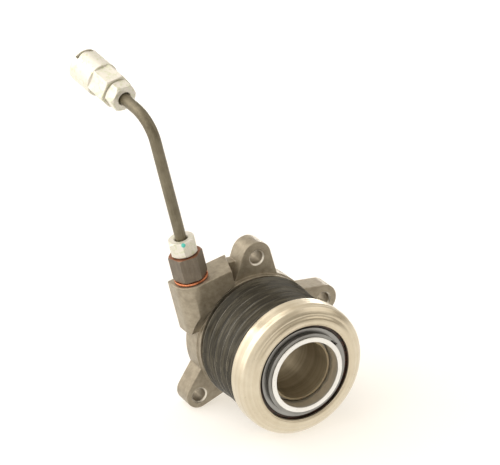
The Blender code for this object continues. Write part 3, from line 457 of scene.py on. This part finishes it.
def drillTool(radius, low, high, place, steps=64):
    return turnPiece("tool", [(0, low), (radius, low), (radius, high), (0, high)], place, None, steps, 0)


def evenNormals(piece):                        # flat faces stay flat beside their rounded edges
    shadeSmooth(piece, 35.0)
    step = piece.modifiers.new("normals", "WEIGHTED_NORMAL")
    step.keep_sharp = True
    step.weight = 90


def sweepRound(name, points, radii, sides, place, material, bores=None):
    bm = bmesh.new()
    last = len(points) - 1
    tangents = [(points[min(i + 1, last)] - points[max(i - 1, 0)]).normalized() for i in range(last + 1)]
    side = tangents[0].orthogonal().normalized()
    walls = [[], []]
    for i, point in enumerate(points):
        side = (side - tangents[i] * side.dot(tangents[i])).normalized()
        across = tangents[i].cross(side)
        turns = [math.tau * k / sides for k in range(sides)]
        arms = [side * math.cos(turn) + across * math.sin(turn) for turn in turns]
        walls[0].append([bm.verts.new((point + arm * radii[i]) * mm) for arm in arms])
        if bores:
            walls[1].append([bm.verts.new((point + arm * bores[i]) * mm) for arm in arms])
    for wall in walls:
        for first, second in zip(wall, wall[1:]):
            for k in range(sides):
                bm.faces.new((first[k - 1], first[k], second[k], second[k - 1]))
    for end in (0, -1):
        if bores:
            for k in range(sides):
                outer, inner = walls[0][end], walls[1][end]
                bm.faces.new((outer[k - 1], outer[k], inner[k], inner[k - 1]))
        else:
            bm.faces.new(walls[0][end])
    return makePiece(name, bm, place, material)


def dress(piece, body, slot, *nodes):          # ride, finish slot (not used) and the CAD nodes that the piece stands for
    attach(piece, body)
    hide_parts(*nodes)


# housing
casting = {
    "flange": 11.5, "flangeRadius": 33.3, "collarRadius": 32.6, "collarFront": 14.2, "recessRadius": 30.3,
    "recessFloor": 10.8, "cylinderRadius": 24.5, "cylinderFront": 29.4, "chamberRadius": 21.0, "web": 5.8,
    "edge": 0.6,
    "lugs": ((88.7, 8.2), (14.0, 7.7), (219.9, 7.0)), "lugCircle": 41.6, "lugFlare": 18.0, "lugRoot": 30.6,
    "hole": 3.4, "holeChamfer": 0.9,
    "bossHeight": 43.3, "bossRadius": 9.8, "bossWidth": 32.8, "bossSlant": 5.5, "bossLow": 16.0,
    "bossUndercut": 11.5, "bossBack": 7.2, "bootRoom": 35.2, "steps": 144,
    "mouth": 18.8, "guide": 16.1, "guideBack": 4.6, "seat": 18.0, "seatBack": 2.4, "round": 0.45,
    "roomInner": 22.75, "roomOuter": 31.45, "roomFront": 30.0,
    "ribLeft": -13.4, "ribRight": 0.94, "ribTop": 39.92, "ribBack": 0.3, "ribFront": 6.5, "ribEdge": 0.4,
    "portRadius": 6.1, "portFloor": 34.7, "drilling": 2.0, "drillingTop": 35.3,
    "cross": 1.3, "crossHeight": 2.6, "crossReach": 4.75, "crossTurn": 0.05,
}


def lugPlan(c, angle, end):
    flare = math.radians(c["lugFlare"])
    half = math.pi / 2 - flare
    arc = [half * (2 * i / 28 - 1) for i in range(29)]
    points = [(c["lugCircle"] + end * math.cos(a), end * math.sin(a)) for a in arc]
    tipX, tipY = points[-1]
    rootY = tipY + (tipX - c["lugRoot"]) * math.tan(flare)
    points += [(c["lugRoot"], rootY), (c["lugRoot"], -rootY)]
    turn = Matrix.Rotation(math.radians(angle), 2)
    return [tuple(turn @ Vector(p)) for p in points]


def bossPlan(c):
    radius = c["bossRadius"]
    arc = [math.radians(180 + 90 * i / 24) for i in range(25)]
    right = c["bossWidth"] - radius
    plan = [(-radius, c["bossBack"])]
    plan += [(radius * math.cos(a), radius * math.sin(a)) for a in arc]
    return plan + [(right - c["bossSlant"], -radius), (right, c["bossBack"])]


def makeBoss(c):
    boss = raisePlan("boss", bossPlan(c), c["bossLow"], c["bossHeight"], inletPlace, edge=0.5)
    front = inlet["station"] - c["flange"]
    slope = c["bossUndercut"] / (c["bossRadius"] + front)
    bm = bmesh.new()
    bm.from_mesh(boss.data)
    cut = bmesh.ops.bisect_plane(
        bm, geom=bm.verts[:] + bm.edges[:] + bm.faces[:], plane_co=(0, front * mm, c["bossLow"] * mm),
        plane_no=(0, slope, 1), clear_inner=True)
    bmesh.ops.holes_fill(bm, edges=[e for e in cut["geom_cut"] if isinstance(e, bmesh.types.BMEdge)])
    bmesh.ops.recalc_face_normals(bm, faces=bm.faces)
    bm.to_mesh(boss.data)
    bm.free()
    edge = c["edge"]
    floor, collar = c["recessFloor"] - edge, c["collarFront"] - edge
    room = [(0, -edge), (c["roomInner"], -edge), (c["roomInner"], floor), (c["roomOuter"], floor),
            (c["roomOuter"], collar), (c["bootRoom"], collar), (c["bootRoom"], c["roomFront"]),
            (0, c["roomFront"])]
    combine(boss, turnPiece("room", room, axisPlace, None, c["steps"], 0))
    return boss


def makeHousing(c):
    blank = [
        (c["mouth"], 0), (c["flangeRadius"], 0), (c["flangeRadius"], c["flange"]),
        (c["collarRadius"], c["flange"]), (c["collarRadius"], c["collarFront"]),
        (c["recessRadius"], c["collarFront"]),
        (c["recessRadius"], c["recessFloor"]), (c["cylinderRadius"], c["recessFloor"]),
        (c["cylinderRadius"], c["cylinderFront"]), (c["chamberRadius"], c["cylinderFront"]),
        (c["chamberRadius"], c["web"]), (c["guide"], c["web"]), (c["guide"], c["guideBack"]),
        (c["seat"], c["guideBack"]), (c["seat"], c["seatBack"]), (c["mouth"], c["seatBack"])]
    body = turnPiece("housingCasting", blank, axisPlace, cast, c["steps"], c["round"])
    for angle, end in c["lugs"]:
        plan = lugPlan(c, angle, end)
        lug = raisePlan("lug", plan, 0.0, c["flange"], axisPlace, edge=c["round"], bothEnds=True)
        combine(body, lug, "UNION")
    left, right, foot = c["ribLeft"], c["ribRight"], c["cylinderRadius"]
    rib = [(left, foot), (right, foot), (right, c["ribTop"]), (left, c["ribTop"])]
    combine(body, raisePlan("web", rib, c["ribBack"], c["ribFront"], axisPlace, edge=c["ribEdge"]), "UNION")
    combine(body, makeBoss(c), "UNION")
    hole, chamfer = c["hole"], c["holeChamfer"]
    drill = [(0, -chamfer), (hole + 2 * chamfer, -chamfer), (hole, chamfer), (hole, c["flange"] - chamfer),
             (hole + 2 * chamfer, c["flange"] + chamfer), (0, c["flange"] + chamfer)]
    for angle, _ in c["lugs"]:
        out = Matrix.Translation((c["lugCircle"] * mm, 0, 0))
        spot = axisPlace @ (Matrix.Rotation(math.radians(angle), 4, "Z") @ out)
        combine(body, turnPiece("drill", drill, spot, None, 56, 0))
    combine(body, drillTool(c["portRadius"], c["portFloor"], c["bossHeight"] + 1, inletPlace))
    combine(body, drillTool(c["drilling"], 0, c["drillingTop"], inletPlace, 32))
    cross = inletPlace @ Matrix.Translation((0, 0, c["crossHeight"] * mm))
    cross = cross @ Matrix.Rotation(math.pi / 2, 4, "Y") @ Matrix.Rotation(c["crossTurn"], 4, "Z")
    combine(body, drillTool(c["cross"], 0, c["crossReach"], cross, 32))
    evenNormals(body)
    dress(body, "fixed_part", "cast_aluminium", "housing")


makeHousing(casting)
print("housing made")


# bellows and its spring
bellows = {
    "start": 11.1, "cuff": 30.0, "inner": 29.0, "first": 14.5, "last": 43.0,
    "folds": 5, "fold": 2.2, "taper": 0.4, "bead": 47.3, "seatBack": 44.0, "seatFront": 45.3, "seat": 29.8,
}


def bellowsOutline(b):
    pitch = (b["last"] - b["first"]) / b["folds"]
    outer = [(b["cuff"], b["start"]), (b["cuff"], b["first"] - 0.4)]
    inner = [(b["inner"], b["start"])]
    steps = 16
    for fold in range(b["folds"]):
        crest = b["fold"] + b["taper"] * max(2 - fold, 0)
        for k in range(steps + 1 if fold == b["folds"] - 1 else steps):
            t = k / steps
            lift = 1 - abs(2 * t - 1)
            lift = 0.35 * lift ** 2.2 + 0.65 * math.sin(lift * math.pi / 2) ** 1.25
            station = b["first"] + pitch * (fold + t)
            outer.append((b["cuff"] + crest * lift, station))
            inner.append((b["inner"] + max(crest * lift - 0.15, 0) * 0.97, station))
    neck, rim = b["cuff"] + 0.1, b["cuff"] + 0.5
    outer += [(neck, b["last"] + 0.3), (rim, b["last"] + 0.7), (rim, b["bead"] - 0.4), (neck, b["bead"])]
    back, front = b["seatBack"] - 0.3, b["seatFront"] + 0.3
    inner += [(b["inner"], back), (b["seat"], back), (b["seat"], front), (b["inner"], front),
              (b["inner"], b["bead"])]
    return outer + inner[::-1]


def markCrests(piece, b):                      # 0 in a valley and 1 on a crest, stored on each vertex
    crest = piece.data.attributes.new("crest", "FLOAT", "POINT")
    pitch = (b["last"] - b["first"]) / b["folds"]
    for i, vertex in enumerate(piece.data.vertices):
        turns = (vertex.co.z / mm - b["first"]) / pitch
        crest.data[i].value = 1 - abs(2 * (turns % 1) - 1) if 0 < turns < b["folds"] else 0.5


def bendWithStroke(piece, node):   # bakes the placement into the mesh and hides the CAD node that the piece stands for
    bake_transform(piece)
    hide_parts(node)


boot = turnPiece("bellowsBoot", bellowsOutline(bellows), axisPlace, bootRubber, 176, 0, 60)
markCrests(boot, bellows)
bendWithStroke(boot, "dust_boot")

coil = {"radius": 27.3, "wire": 1.2, "low": 12.3, "high": 42.5, "turns": 5}


def springLine(s):
    closed = 2 * s["wire"] + 0.3
    pitch = (s["high"] - s["low"] - 2 * closed) / (s["turns"] - 2)
    points = []
    for i in range(s["turns"] * 48 + 1):
        turns = i / 48
        if turns <= 1:
            rise = closed * turns
        elif turns <= s["turns"] - 1:
            rise = closed + pitch * (turns - 1)
        else:
            rise = s["high"] - s["low"] - closed * (s["turns"] - turns)
        angle = math.tau * turns
        x, y = s["radius"] * math.cos(angle), s["radius"] * math.sin(angle)
        points.append(Vector((x, y, s["low"] + rise)))
    return points


line = springLine(coil)
spring = sweepRound("preloadSpring", line, [coil["wire"]] * len(line), 16, axisPlace, wire)
bendWithStroke(spring, "preload_spring")
print("bellows and spring made")


# guide sleeve, piston and bearing
sleeve = [(14.8, 0.6), (18.5, 0.6), (18.5, 2.1), (15.8, 2.1), (15.8, 52.85), (15.3, 52.85), (15.3, 54.35),
          (15.8, 54.35), (15.8, 56.8), (14.8, 56.8)]
dress(turnPiece("guideSleeve", sleeve, axisPlace, tube, 144, 0.22),
      "fixed_part", "ground_steel", "guide_sleeve")

pistonBody = [(16.1, 23.2), (20.7, 23.2), (20.7, 27.6), (19.5, 28.2), (19.5, 45.6), (25.0, 45.6),
              (25.0, 47.6), (19.5, 47.6), (19.5, 60.85), (18.5, 60.85), (18.5, 62.25), (19.5, 62.25),
              (19.5, 62.9), (17.1, 62.9), (17.1, 52.7), (16.1, 52.7), (16.1, 50.5), (17.5, 50.5),
              (17.5, 48.0), (16.1, 48.0)]
dress(turnPiece("pistonBody", pistonBody, axisPlace, pistonSteel, 144, 0.22),
      "release_piston", "bright_steel", "piston")

race = {"radius": 3.3, "depth": 2.3, "pitch": 27.9, "station": 53.7}


def raceArc(side):
    reach = math.acos(race["depth"] / race["radius"])
    arc = [reach * (2 * i / 12 - 1) for i in range(13)]
    radius, pitch, station = race["radius"], race["pitch"], race["station"]
    return [(pitch + side * radius * math.cos(a), station + radius * math.sin(a)) for a in arc]


outerRing = {
    "rim": ((33.7, 48.6), (34.0, 48.9), (34.0, 50.2), (33.93, 50.35), (33.93, 54.9), (33.82, 55.4),
            (33.6, 56.2), (33.5, 57.1), (33.15, 57.75), (32.5, 58.4), (31.7, 59.1), (30.9, 59.6),
            (30.3, 59.78), (29.75, 59.85), (29.2, 60.15), (28.6, 60.65), (27.9, 61.0), (27.1, 61.17),
            (26.3, 61.2), (25.7, 61.12), (25.45, 60.95), (25.15, 60.95), (24.9, 60.82), (24.66, 60.55),
            (24.6, 60.3)),
    "pocket": ((24.6, 59.5), (25.0, 59.1), (30.5, 59.1), (30.5, 57.7)),
}
shape = [(30.2, 48.6), *outerRing["rim"], *outerRing["pocket"], *raceArc(1)[::-1]]
dress(turnPiece("bearingOuterRing", shape, axisPlace, nickel, 192, 0.12, 50), "bearing_outer", "nickel_plate",
      "bearing_outer_ring")

shape = [(20.3, 47.9), (25.3, 47.9), (25.6, 48.2), *raceArc(-1), (25.6, 56.9), (23.2, 56.9), (23.2, 59.6),
         (20.3, 59.6)]
dress(turnPiece("bearingInnerRing", shape, axisPlace, ground, 160, 0.25), "bearing_inner", "ground_steel",
      "bearing_inner_ring")

splitRing = {"inner": 18.8, "outer": 21.1, "back": 61.0, "front": 62.1, "gapAt": 42.4, "gap": 12.0}


def makeSplitRing(s):
    section = roundCorners([(s["inner"], s["back"]), (s["outer"], s["back"]), (s["outer"], s["front"]),
                            (s["inner"], s["front"])], 0.2, 3)
    start = math.radians(s["gapAt"] + s["gap"] / 2)
    turn = math.radians(360 - s["gap"])
    bm = bmesh.new()
    rings = []
    for i in range(145):
        a = start + turn * i / 144
        rings.append([bm.verts.new((r * mm * math.cos(a), r * mm * math.sin(a), z * mm)) for r, z in section])
    for first, second in zip(rings, rings[1:]):
        for k in range(len(section)):
            bm.faces.new((first[k - 1], first[k], second[k], second[k - 1]))
    bm.faces.new(rings[0])
    bm.faces.new(rings[-1])
    return makePiece("retainingClip", bm, axisPlace, ground)


dress(makeSplitRing(splitRing), "release_piston", "ground_steel", "bearing_retaining_clip")
print("piston and bearing made")


# unions and feed pipe
def hexTool(flats, low, high, place, turn, chamfer, material, name):
    corner = flats / math.sqrt(3)
    turns = [math.radians(60 * i) for i in range(6)]
    plan = [(corner * math.cos(a), corner * math.sin(a)) for a in turns]
    bar = raisePlan(name, plan, low, high, place @ Matrix.Rotation(math.radians(turn), 4, "Z"), material)
    reach = (high - low) / 2
    narrow, wide = corner - chamfer, corner - chamfer + reach
    start, end = low - chamfer, high + chamfer
    cone = [(0, start), (narrow - chamfer, start), (wide, low + reach), (narrow - chamfer, end),
            (0, end)]
    combine(bar, turnPiece("cone", cone, place, None, 96, 0), "INTERSECT")
    return bar


flareSeat = {"thread": 5.2, "passage": 1.8, "cone": 2.0, "past": 0.6}


def cutSeat(piece, top, floor, farEnd, way, place):
    past = way * flareSeat["past"]
    combine(piece, turnPiece("seat", [
        (0, top - past), (flareSeat["thread"], top - past), (flareSeat["thread"], floor),
        (flareSeat["passage"], floor + way * flareSeat["cone"]), (flareSeat["passage"], farEnd + past),
        (0, farEnd + past)], place, None, 64, 0))


tubeNut = {"flats": 12.7, "turn": 8.0, "chamfer": 1.1, "shank": 4.7, "shankReach": 6.6, "join": 1.1,
           "bore": 3.1, "mouth": 4.1, "lead": 0.5}


def makeTubeNut(name, foot, height, way, place, material):
    n = tubeNut
    hexEnd, shankEnd = foot + way * height, foot - way * n["shankReach"]
    low, high = min(foot, hexEnd), max(foot, hexEnd)
    nut = hexTool(n["flats"], low, high, place, n["turn"], n["chamfer"], material, name)
    join = foot + way * n["join"]
    combine(nut, drillTool(n["shank"], min(shankEnd, join), max(shankEnd, join), place), "UNION")
    ends = sorted((hexEnd, shankEnd))
    under, over = hexEnd - n["lead"], hexEnd + n["lead"]
    if way > 0:
        bore = [(0, ends[0] - 1), (n["bore"], ends[0] - 1), (n["bore"], under), (n["mouth"], over), (0, over)]
    else:
        bore = [(0, under), (n["mouth"], under), (n["bore"], over), (n["bore"], ends[1] + 1),
                (0, ends[1] + 1)]
    combine(nut, turnPiece("bore", bore, place, None, 64, 0))
    evenNormals(nut)
    return nut


union = {"washerLow": 43.6, "washerHigh": 44.7, "washerIn": 5.9, "washerOut": 8.5,
         "adapterFoot": 45.0, "adapterTop": 58.0, "flats": 15.0, "turn": -15.8, "shank": 5.6,
         "shankFoot": 35.0, "threadFloor": 49.0}
shape = [(union["washerIn"], union["washerLow"]), (union["washerOut"], union["washerLow"]),
         (union["washerOut"], union["washerHigh"]), (union["washerIn"], union["washerHigh"])]
dress(turnPiece("copperWasher", shape, inletPlace, copper, 96, 0.35), "fixed_part", "copper", "copper_washer")

adapter = hexTool(union["flats"], union["adapterFoot"], union["adapterTop"], inletPlace, union["turn"], 0.7,
                  stainedPhosphate, "inletAdapter")
shank = drillTool(union["shank"], union["shankFoot"], union["adapterFoot"] + 0.6, inletPlace)
combine(adapter, shank, "UNION")
cutSeat(adapter, union["adapterTop"], union["threadFloor"], union["shankFoot"], -1, inletPlace)
evenNormals(adapter)
dress(adapter, "fixed_part", "dark_plate", "inlet_adapter")
dress(makeTubeNut("inletTubeNut", 58.3, 8.0, 1, inletPlace, zincDabbed),
      "fixed_part", "zinc_plate", "inlet_tube_nut")

pipe = {"start": 49.3, "bendStart": 118.5, "bendRadius": 15.8, "bend": 72.5, "twist": 6.6, "tail": 8.8,
        "end": 15.5, "radius": 2.8, "bore": 1.8, "flare": 4.0, "land": 0.6, "flareLength": 1.4}


def pipeRoute(p):
    twist, bend = math.radians(p["twist"]), math.radians(p["bend"])
    aside, up = Vector((-math.sin(twist), math.cos(twist), 0)), Vector((0, 0, 1))
    centre = up * p["bendStart"] + aside * p["bendRadius"]
    arc = [centre + (up * math.sin(bend * i / 40) - aside * math.cos(bend * i / 40)) * p["bendRadius"]
           for i in range(41)]
    heading = up * math.cos(bend) + aside * math.sin(bend)
    return arc, heading, up * math.sin(bend) - aside * math.cos(bend)


def makePipe(p):
    arc, heading, _ = pipeRoute(p)
    up = Vector((0, 0, 1))
    foot = up * p["start"]
    far = arc[-1] + heading * (p["tail"] + p["end"])
    lead = up * p["flareLength"]
    straight = [foot + lead + (arc[0] - foot - lead) * i / 20 for i in range(20)]
    points = [foot, foot + up * p["land"]] + straight + arc
    points += [far - heading * p["flareLength"], far - heading * p["land"], far]
    lip = p["flare"] - 0.3
    radii = [lip, p["flare"]] + [p["radius"]] * (len(points) - 4) + [p["flare"], lip]
    return sweepRound("feedPipe", points, radii, 48, inletPlace, olive, [p["bore"]] * len(points))


dress(makePipe(pipe), "fixed_part", "pipe_coating", "hydraulic_pipe")
bendLine, heading, outward = pipeRoute(pipe)
socketPlace = (inletPlace @ Matrix.Translation((bendLine[-1] + heading * pipe["tail"]) * mm)
               @ Matrix((outward.cross(heading), outward, heading)).transposed().to_4x4())
print("pipe made")

# socket at the pipe's far end
socket = {"start": 6.8, "step": 18.3, "mouth": 34.3, "radius": 8.7, "bore": 4.8, "floor": 22.3,
          "threadFloor": 15.8, "ringLow": 25.9, "ringHigh": 28.3, "groove": 6.3, "latchAt": 32.5, "wire": 0.7,
          "legs": 3.6, "gap": 0.3, "inset": 0.2, "past": 0.6}


def makeSocket(s):
    past = s["past"]
    body = hexTool(union["flats"], s["start"], s["step"] + past, socketPlace, 0.0, 0.7, zinc, "socketBody")
    barrel = [(0, s["step"]), (s["radius"], s["step"]), (s["radius"], s["mouth"]), (0, s["mouth"])]
    barrel = roundCorners(barrel, 0.6, 5)
    combine(body, turnPiece("barrel", barrel, socketPlace, None, 96, 0), "UNION")
    combine(body, turnPiece("bore", [
        (0, s["floor"]), (s["bore"], s["floor"]), (s["bore"], s["ringLow"]), (s["groove"], s["ringLow"]),
        (s["groove"], s["ringHigh"]), (s["bore"], s["ringHigh"]), (s["bore"], s["mouth"] - past),
        (s["bore"] + 1.2, s["mouth"] + past), (0, s["mouth"] + past)],
        socketPlace, None, 80, 0))
    cutSeat(body, s["start"], s["threadFloor"], s["floor"], 1, socketPlace)
    low, high = s["latchAt"] - s["wire"] - s["gap"], s["latchAt"] + s["wire"] + s["gap"]
    reach, top = s["legs"] + s["wire"] + s["gap"], s["radius"] + past
    window = [(-reach, 0), (reach, 0), (reach, top), (-reach, top)]
    combine(body, raisePlan("window", window, low, high, socketPlace))
    for side in (-1, 1):
        near, far = sorted((side * (s["legs"] - s["wire"] - s["gap"]), side * reach))
        slot = [(near, -top), (far, -top), (far, past), (near, past)]
        combine(body, raisePlan("slot", slot, low, high, socketPlace))
    evenNormals(body)
    dress(body, "fixed_part", "zinc_plate", "connector_body")


makeSocket(socket)
dress(makeTubeNut("socketTubeNut", 6.5, 6.5, -1, socketPlace, zinc), "fixed_part", "zinc_plate",
      "connector_tube_nut")


def makeLatch(s):
    crown = s["radius"] - s["inset"] - s["wire"]
    centre = crown - s["legs"]
    turns = [math.pi * i / 32 for i in range(33)]
    points = [Vector((s["legs"], -crown + (centre + crown) * i / 8, s["latchAt"])) for i in range(8)]
    points += [Vector((s["legs"] * math.cos(a), centre + s["legs"] * math.sin(a), s["latchAt"]))
               for a in turns]
    points += [Vector((-s["legs"], centre - (centre + crown) * i / 8, s["latchAt"])) for i in range(1, 9)]
    tip = s["wire"] - 0.15
    radii = [tip] + [s["wire"]] * (len(points) - 2) + [tip]
    dress(sweepRound("latchWire", points, radii, 20, socketPlace, zinc),
          "socket_latch", "bright_steel", "connector_clip")


makeLatch(socket)
print("socket and latch made")


# carried-over nodes
kept = {
    "sleeve_o_ring": sealRubber, "piston_seal": sealRubber, "wiper_ring": sealRubber,
    "connector_o_ring": sealRubber, "bearing_front_seal": greasedRubber, "sleeve_stop_ring": ground,
    "spring_seat": ground, "wave_washer": ground, "bearing_rear_seal": ground, "bearing_cage": cagePlate,
}
kept.update({name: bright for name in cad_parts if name.startswith("bearing_ball")})
for name, material in kept.items():
    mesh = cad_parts[name].data
    mesh.materials.clear()
    mesh.materials.append(material)
print("carried-over nodes finished:", len(kept))


# table, backdrop and light
studio = {
    "tableHeight": -34.0, "tableSize": 6.0,    # mm, then metres
    "white": (1.0, 0.998, 0.992, 1.0), "shadow": tint(234, 226, 212), "lift": (0.42, 0.42, 0.43, 1.0),
    "farGlow": (1.2, 1.2, 1.2, 1.0),
    "nearShade": (1.17, 1.14, 1.08, 1.0), "lampPool": (1.25, 1.22, 1.16, 1.0),
}


def makeTable(s):
    f = Finish("tableWhite")
    camera = f.node("ShaderNodeLightPath", out="Is Camera Ray")
    glossy = f.node("ShaderNodeLightPath", out="Is Glossy Ray")
    place = f.coords()
    grain = f.noise(place, 900, 2)
    x, y, _ = f.split(place)
    pool = f.between(y * 0.5 - x * 0.86, 0.08, 0.3)        # what metal sees: brightest under the lamps
    mirrored = f.node("ShaderNodeEmission", values={
        "Color": f.blend(pool, s["nearShade"], s["lampPool"]), "Strength": 1.0})
    paint = f.node("ShaderNodeBsdfDiffuse", values={
        "Color": s["white"], "Normal": f.bump(grain, 0.02 * mm, 0.3)})
    far = f.between((x * x + y * y) ** 0.5, 0.3, 0.9)      # the table fades into the backdrop
    faded = f.blend(far, s["shadow"], s["farGlow"])
    glow = f.node("ShaderNodeEmission", values={"Color": faded, "Strength": 0.8})
    dim = f.node("ShaderNodeBsdfDiffuse", values={"Color": s["lift"]})
    lifted = f.node("ShaderNodeAddShader", values={0: glow, 1: dim})
    seen = f.node("ShaderNodeMixShader", values={0: camera, 1: paint, 2: lifted})
    both = f.node("ShaderNodeMixShader", values={0: glossy, 1: seen, 2: mirrored})
    f.node("ShaderNodeOutputMaterial", values={"Surface": both})
    bm = bmesh.new()
    half = s["tableSize"] / 2
    bm.faces.new([bm.verts.new((x * half, y * half, 0)) for x, y in ((-1, -1), (1, -1), (1, 1), (-1, 1))])
    table = makePiece("tableTop", bm, Matrix.Translation((0, 0, s["tableHeight"] * mm)), f.material)


makeTable(studio)

lampColour = (1.0, 0.99, 0.97)
lamps = {
    "key": {"at": (-0.75, 0.45, 1.4), "size": 2.2, "power": 15.0},
    "glint": {"at": (-0.66, 1.22, 0.71), "size": 0.35, "power": 1.2},
    "left": {"at": (-1.6, 0.25, 0.45), "size": 2.8, "power": 23.0},
    "front": {"at": (-0.75, -1.3, 0.75), "size": 1.6, "power": 3.0},
    "fill": {"at": (1.1, -0.6, 0.9), "size": 1.2, "power": 3.0},
    "rim": {"at": (0.87, 1.1, 0.1), "size": 0.3, "power": 1.6},
}


def hangLamp(name, values):
    data = bpy.data.lights.new(name, "AREA")
    data.shape = "DISK"
    data.size, data.energy, data.color = values["size"], values["power"], lampColour
    lamp = bpy.data.objects.new(name, data)
    spot = Vector(values["at"])
    aim = (Vector((-0.02, -0.02, 0.03)) - spot).to_track_quat("-Z", "Y").to_matrix().to_4x4()
    lamp.matrix_world = Matrix.Translation(spot) @ aim
    bpy.context.scene.collection.objects.link(lamp)


for lampName, lampValues in lamps.items():
    hangLamp(lampName, lampValues)


def makeSky():
    world = bpy.data.worlds.new("studioSky")
    bpy.context.scene.world = world
    f = Finish("studioSky", world)
    seen = f.node("ShaderNodeLightPath", out="Is Camera Ray")
    x, y, z = f.split(f.node("ShaderNodeTexCoord", out="Generated"))
    behind = f.between(y * 0.75 + z * 0.55 - x * 0.35, -0.75, 0.55)
    sky = f.blend(behind, tint(142, 134, 120), tint(252, 247, 238))
    lit = f.node("ShaderNodeBackground", values={"Color": sky, "Strength": 0.92})
    white = f.node("ShaderNodeBackground", values={"Color": (1, 1, 1, 1), "Strength": 1.0})
    mixed = f.node("ShaderNodeMixShader", values={0: seen, 1: lit, 2: white})
    f.node("ShaderNodeOutputWorld", values={"Surface": mixed})


makeSky()
bpy.context.scene.view_settings.view_transform = "Standard"
print("table and light placed")
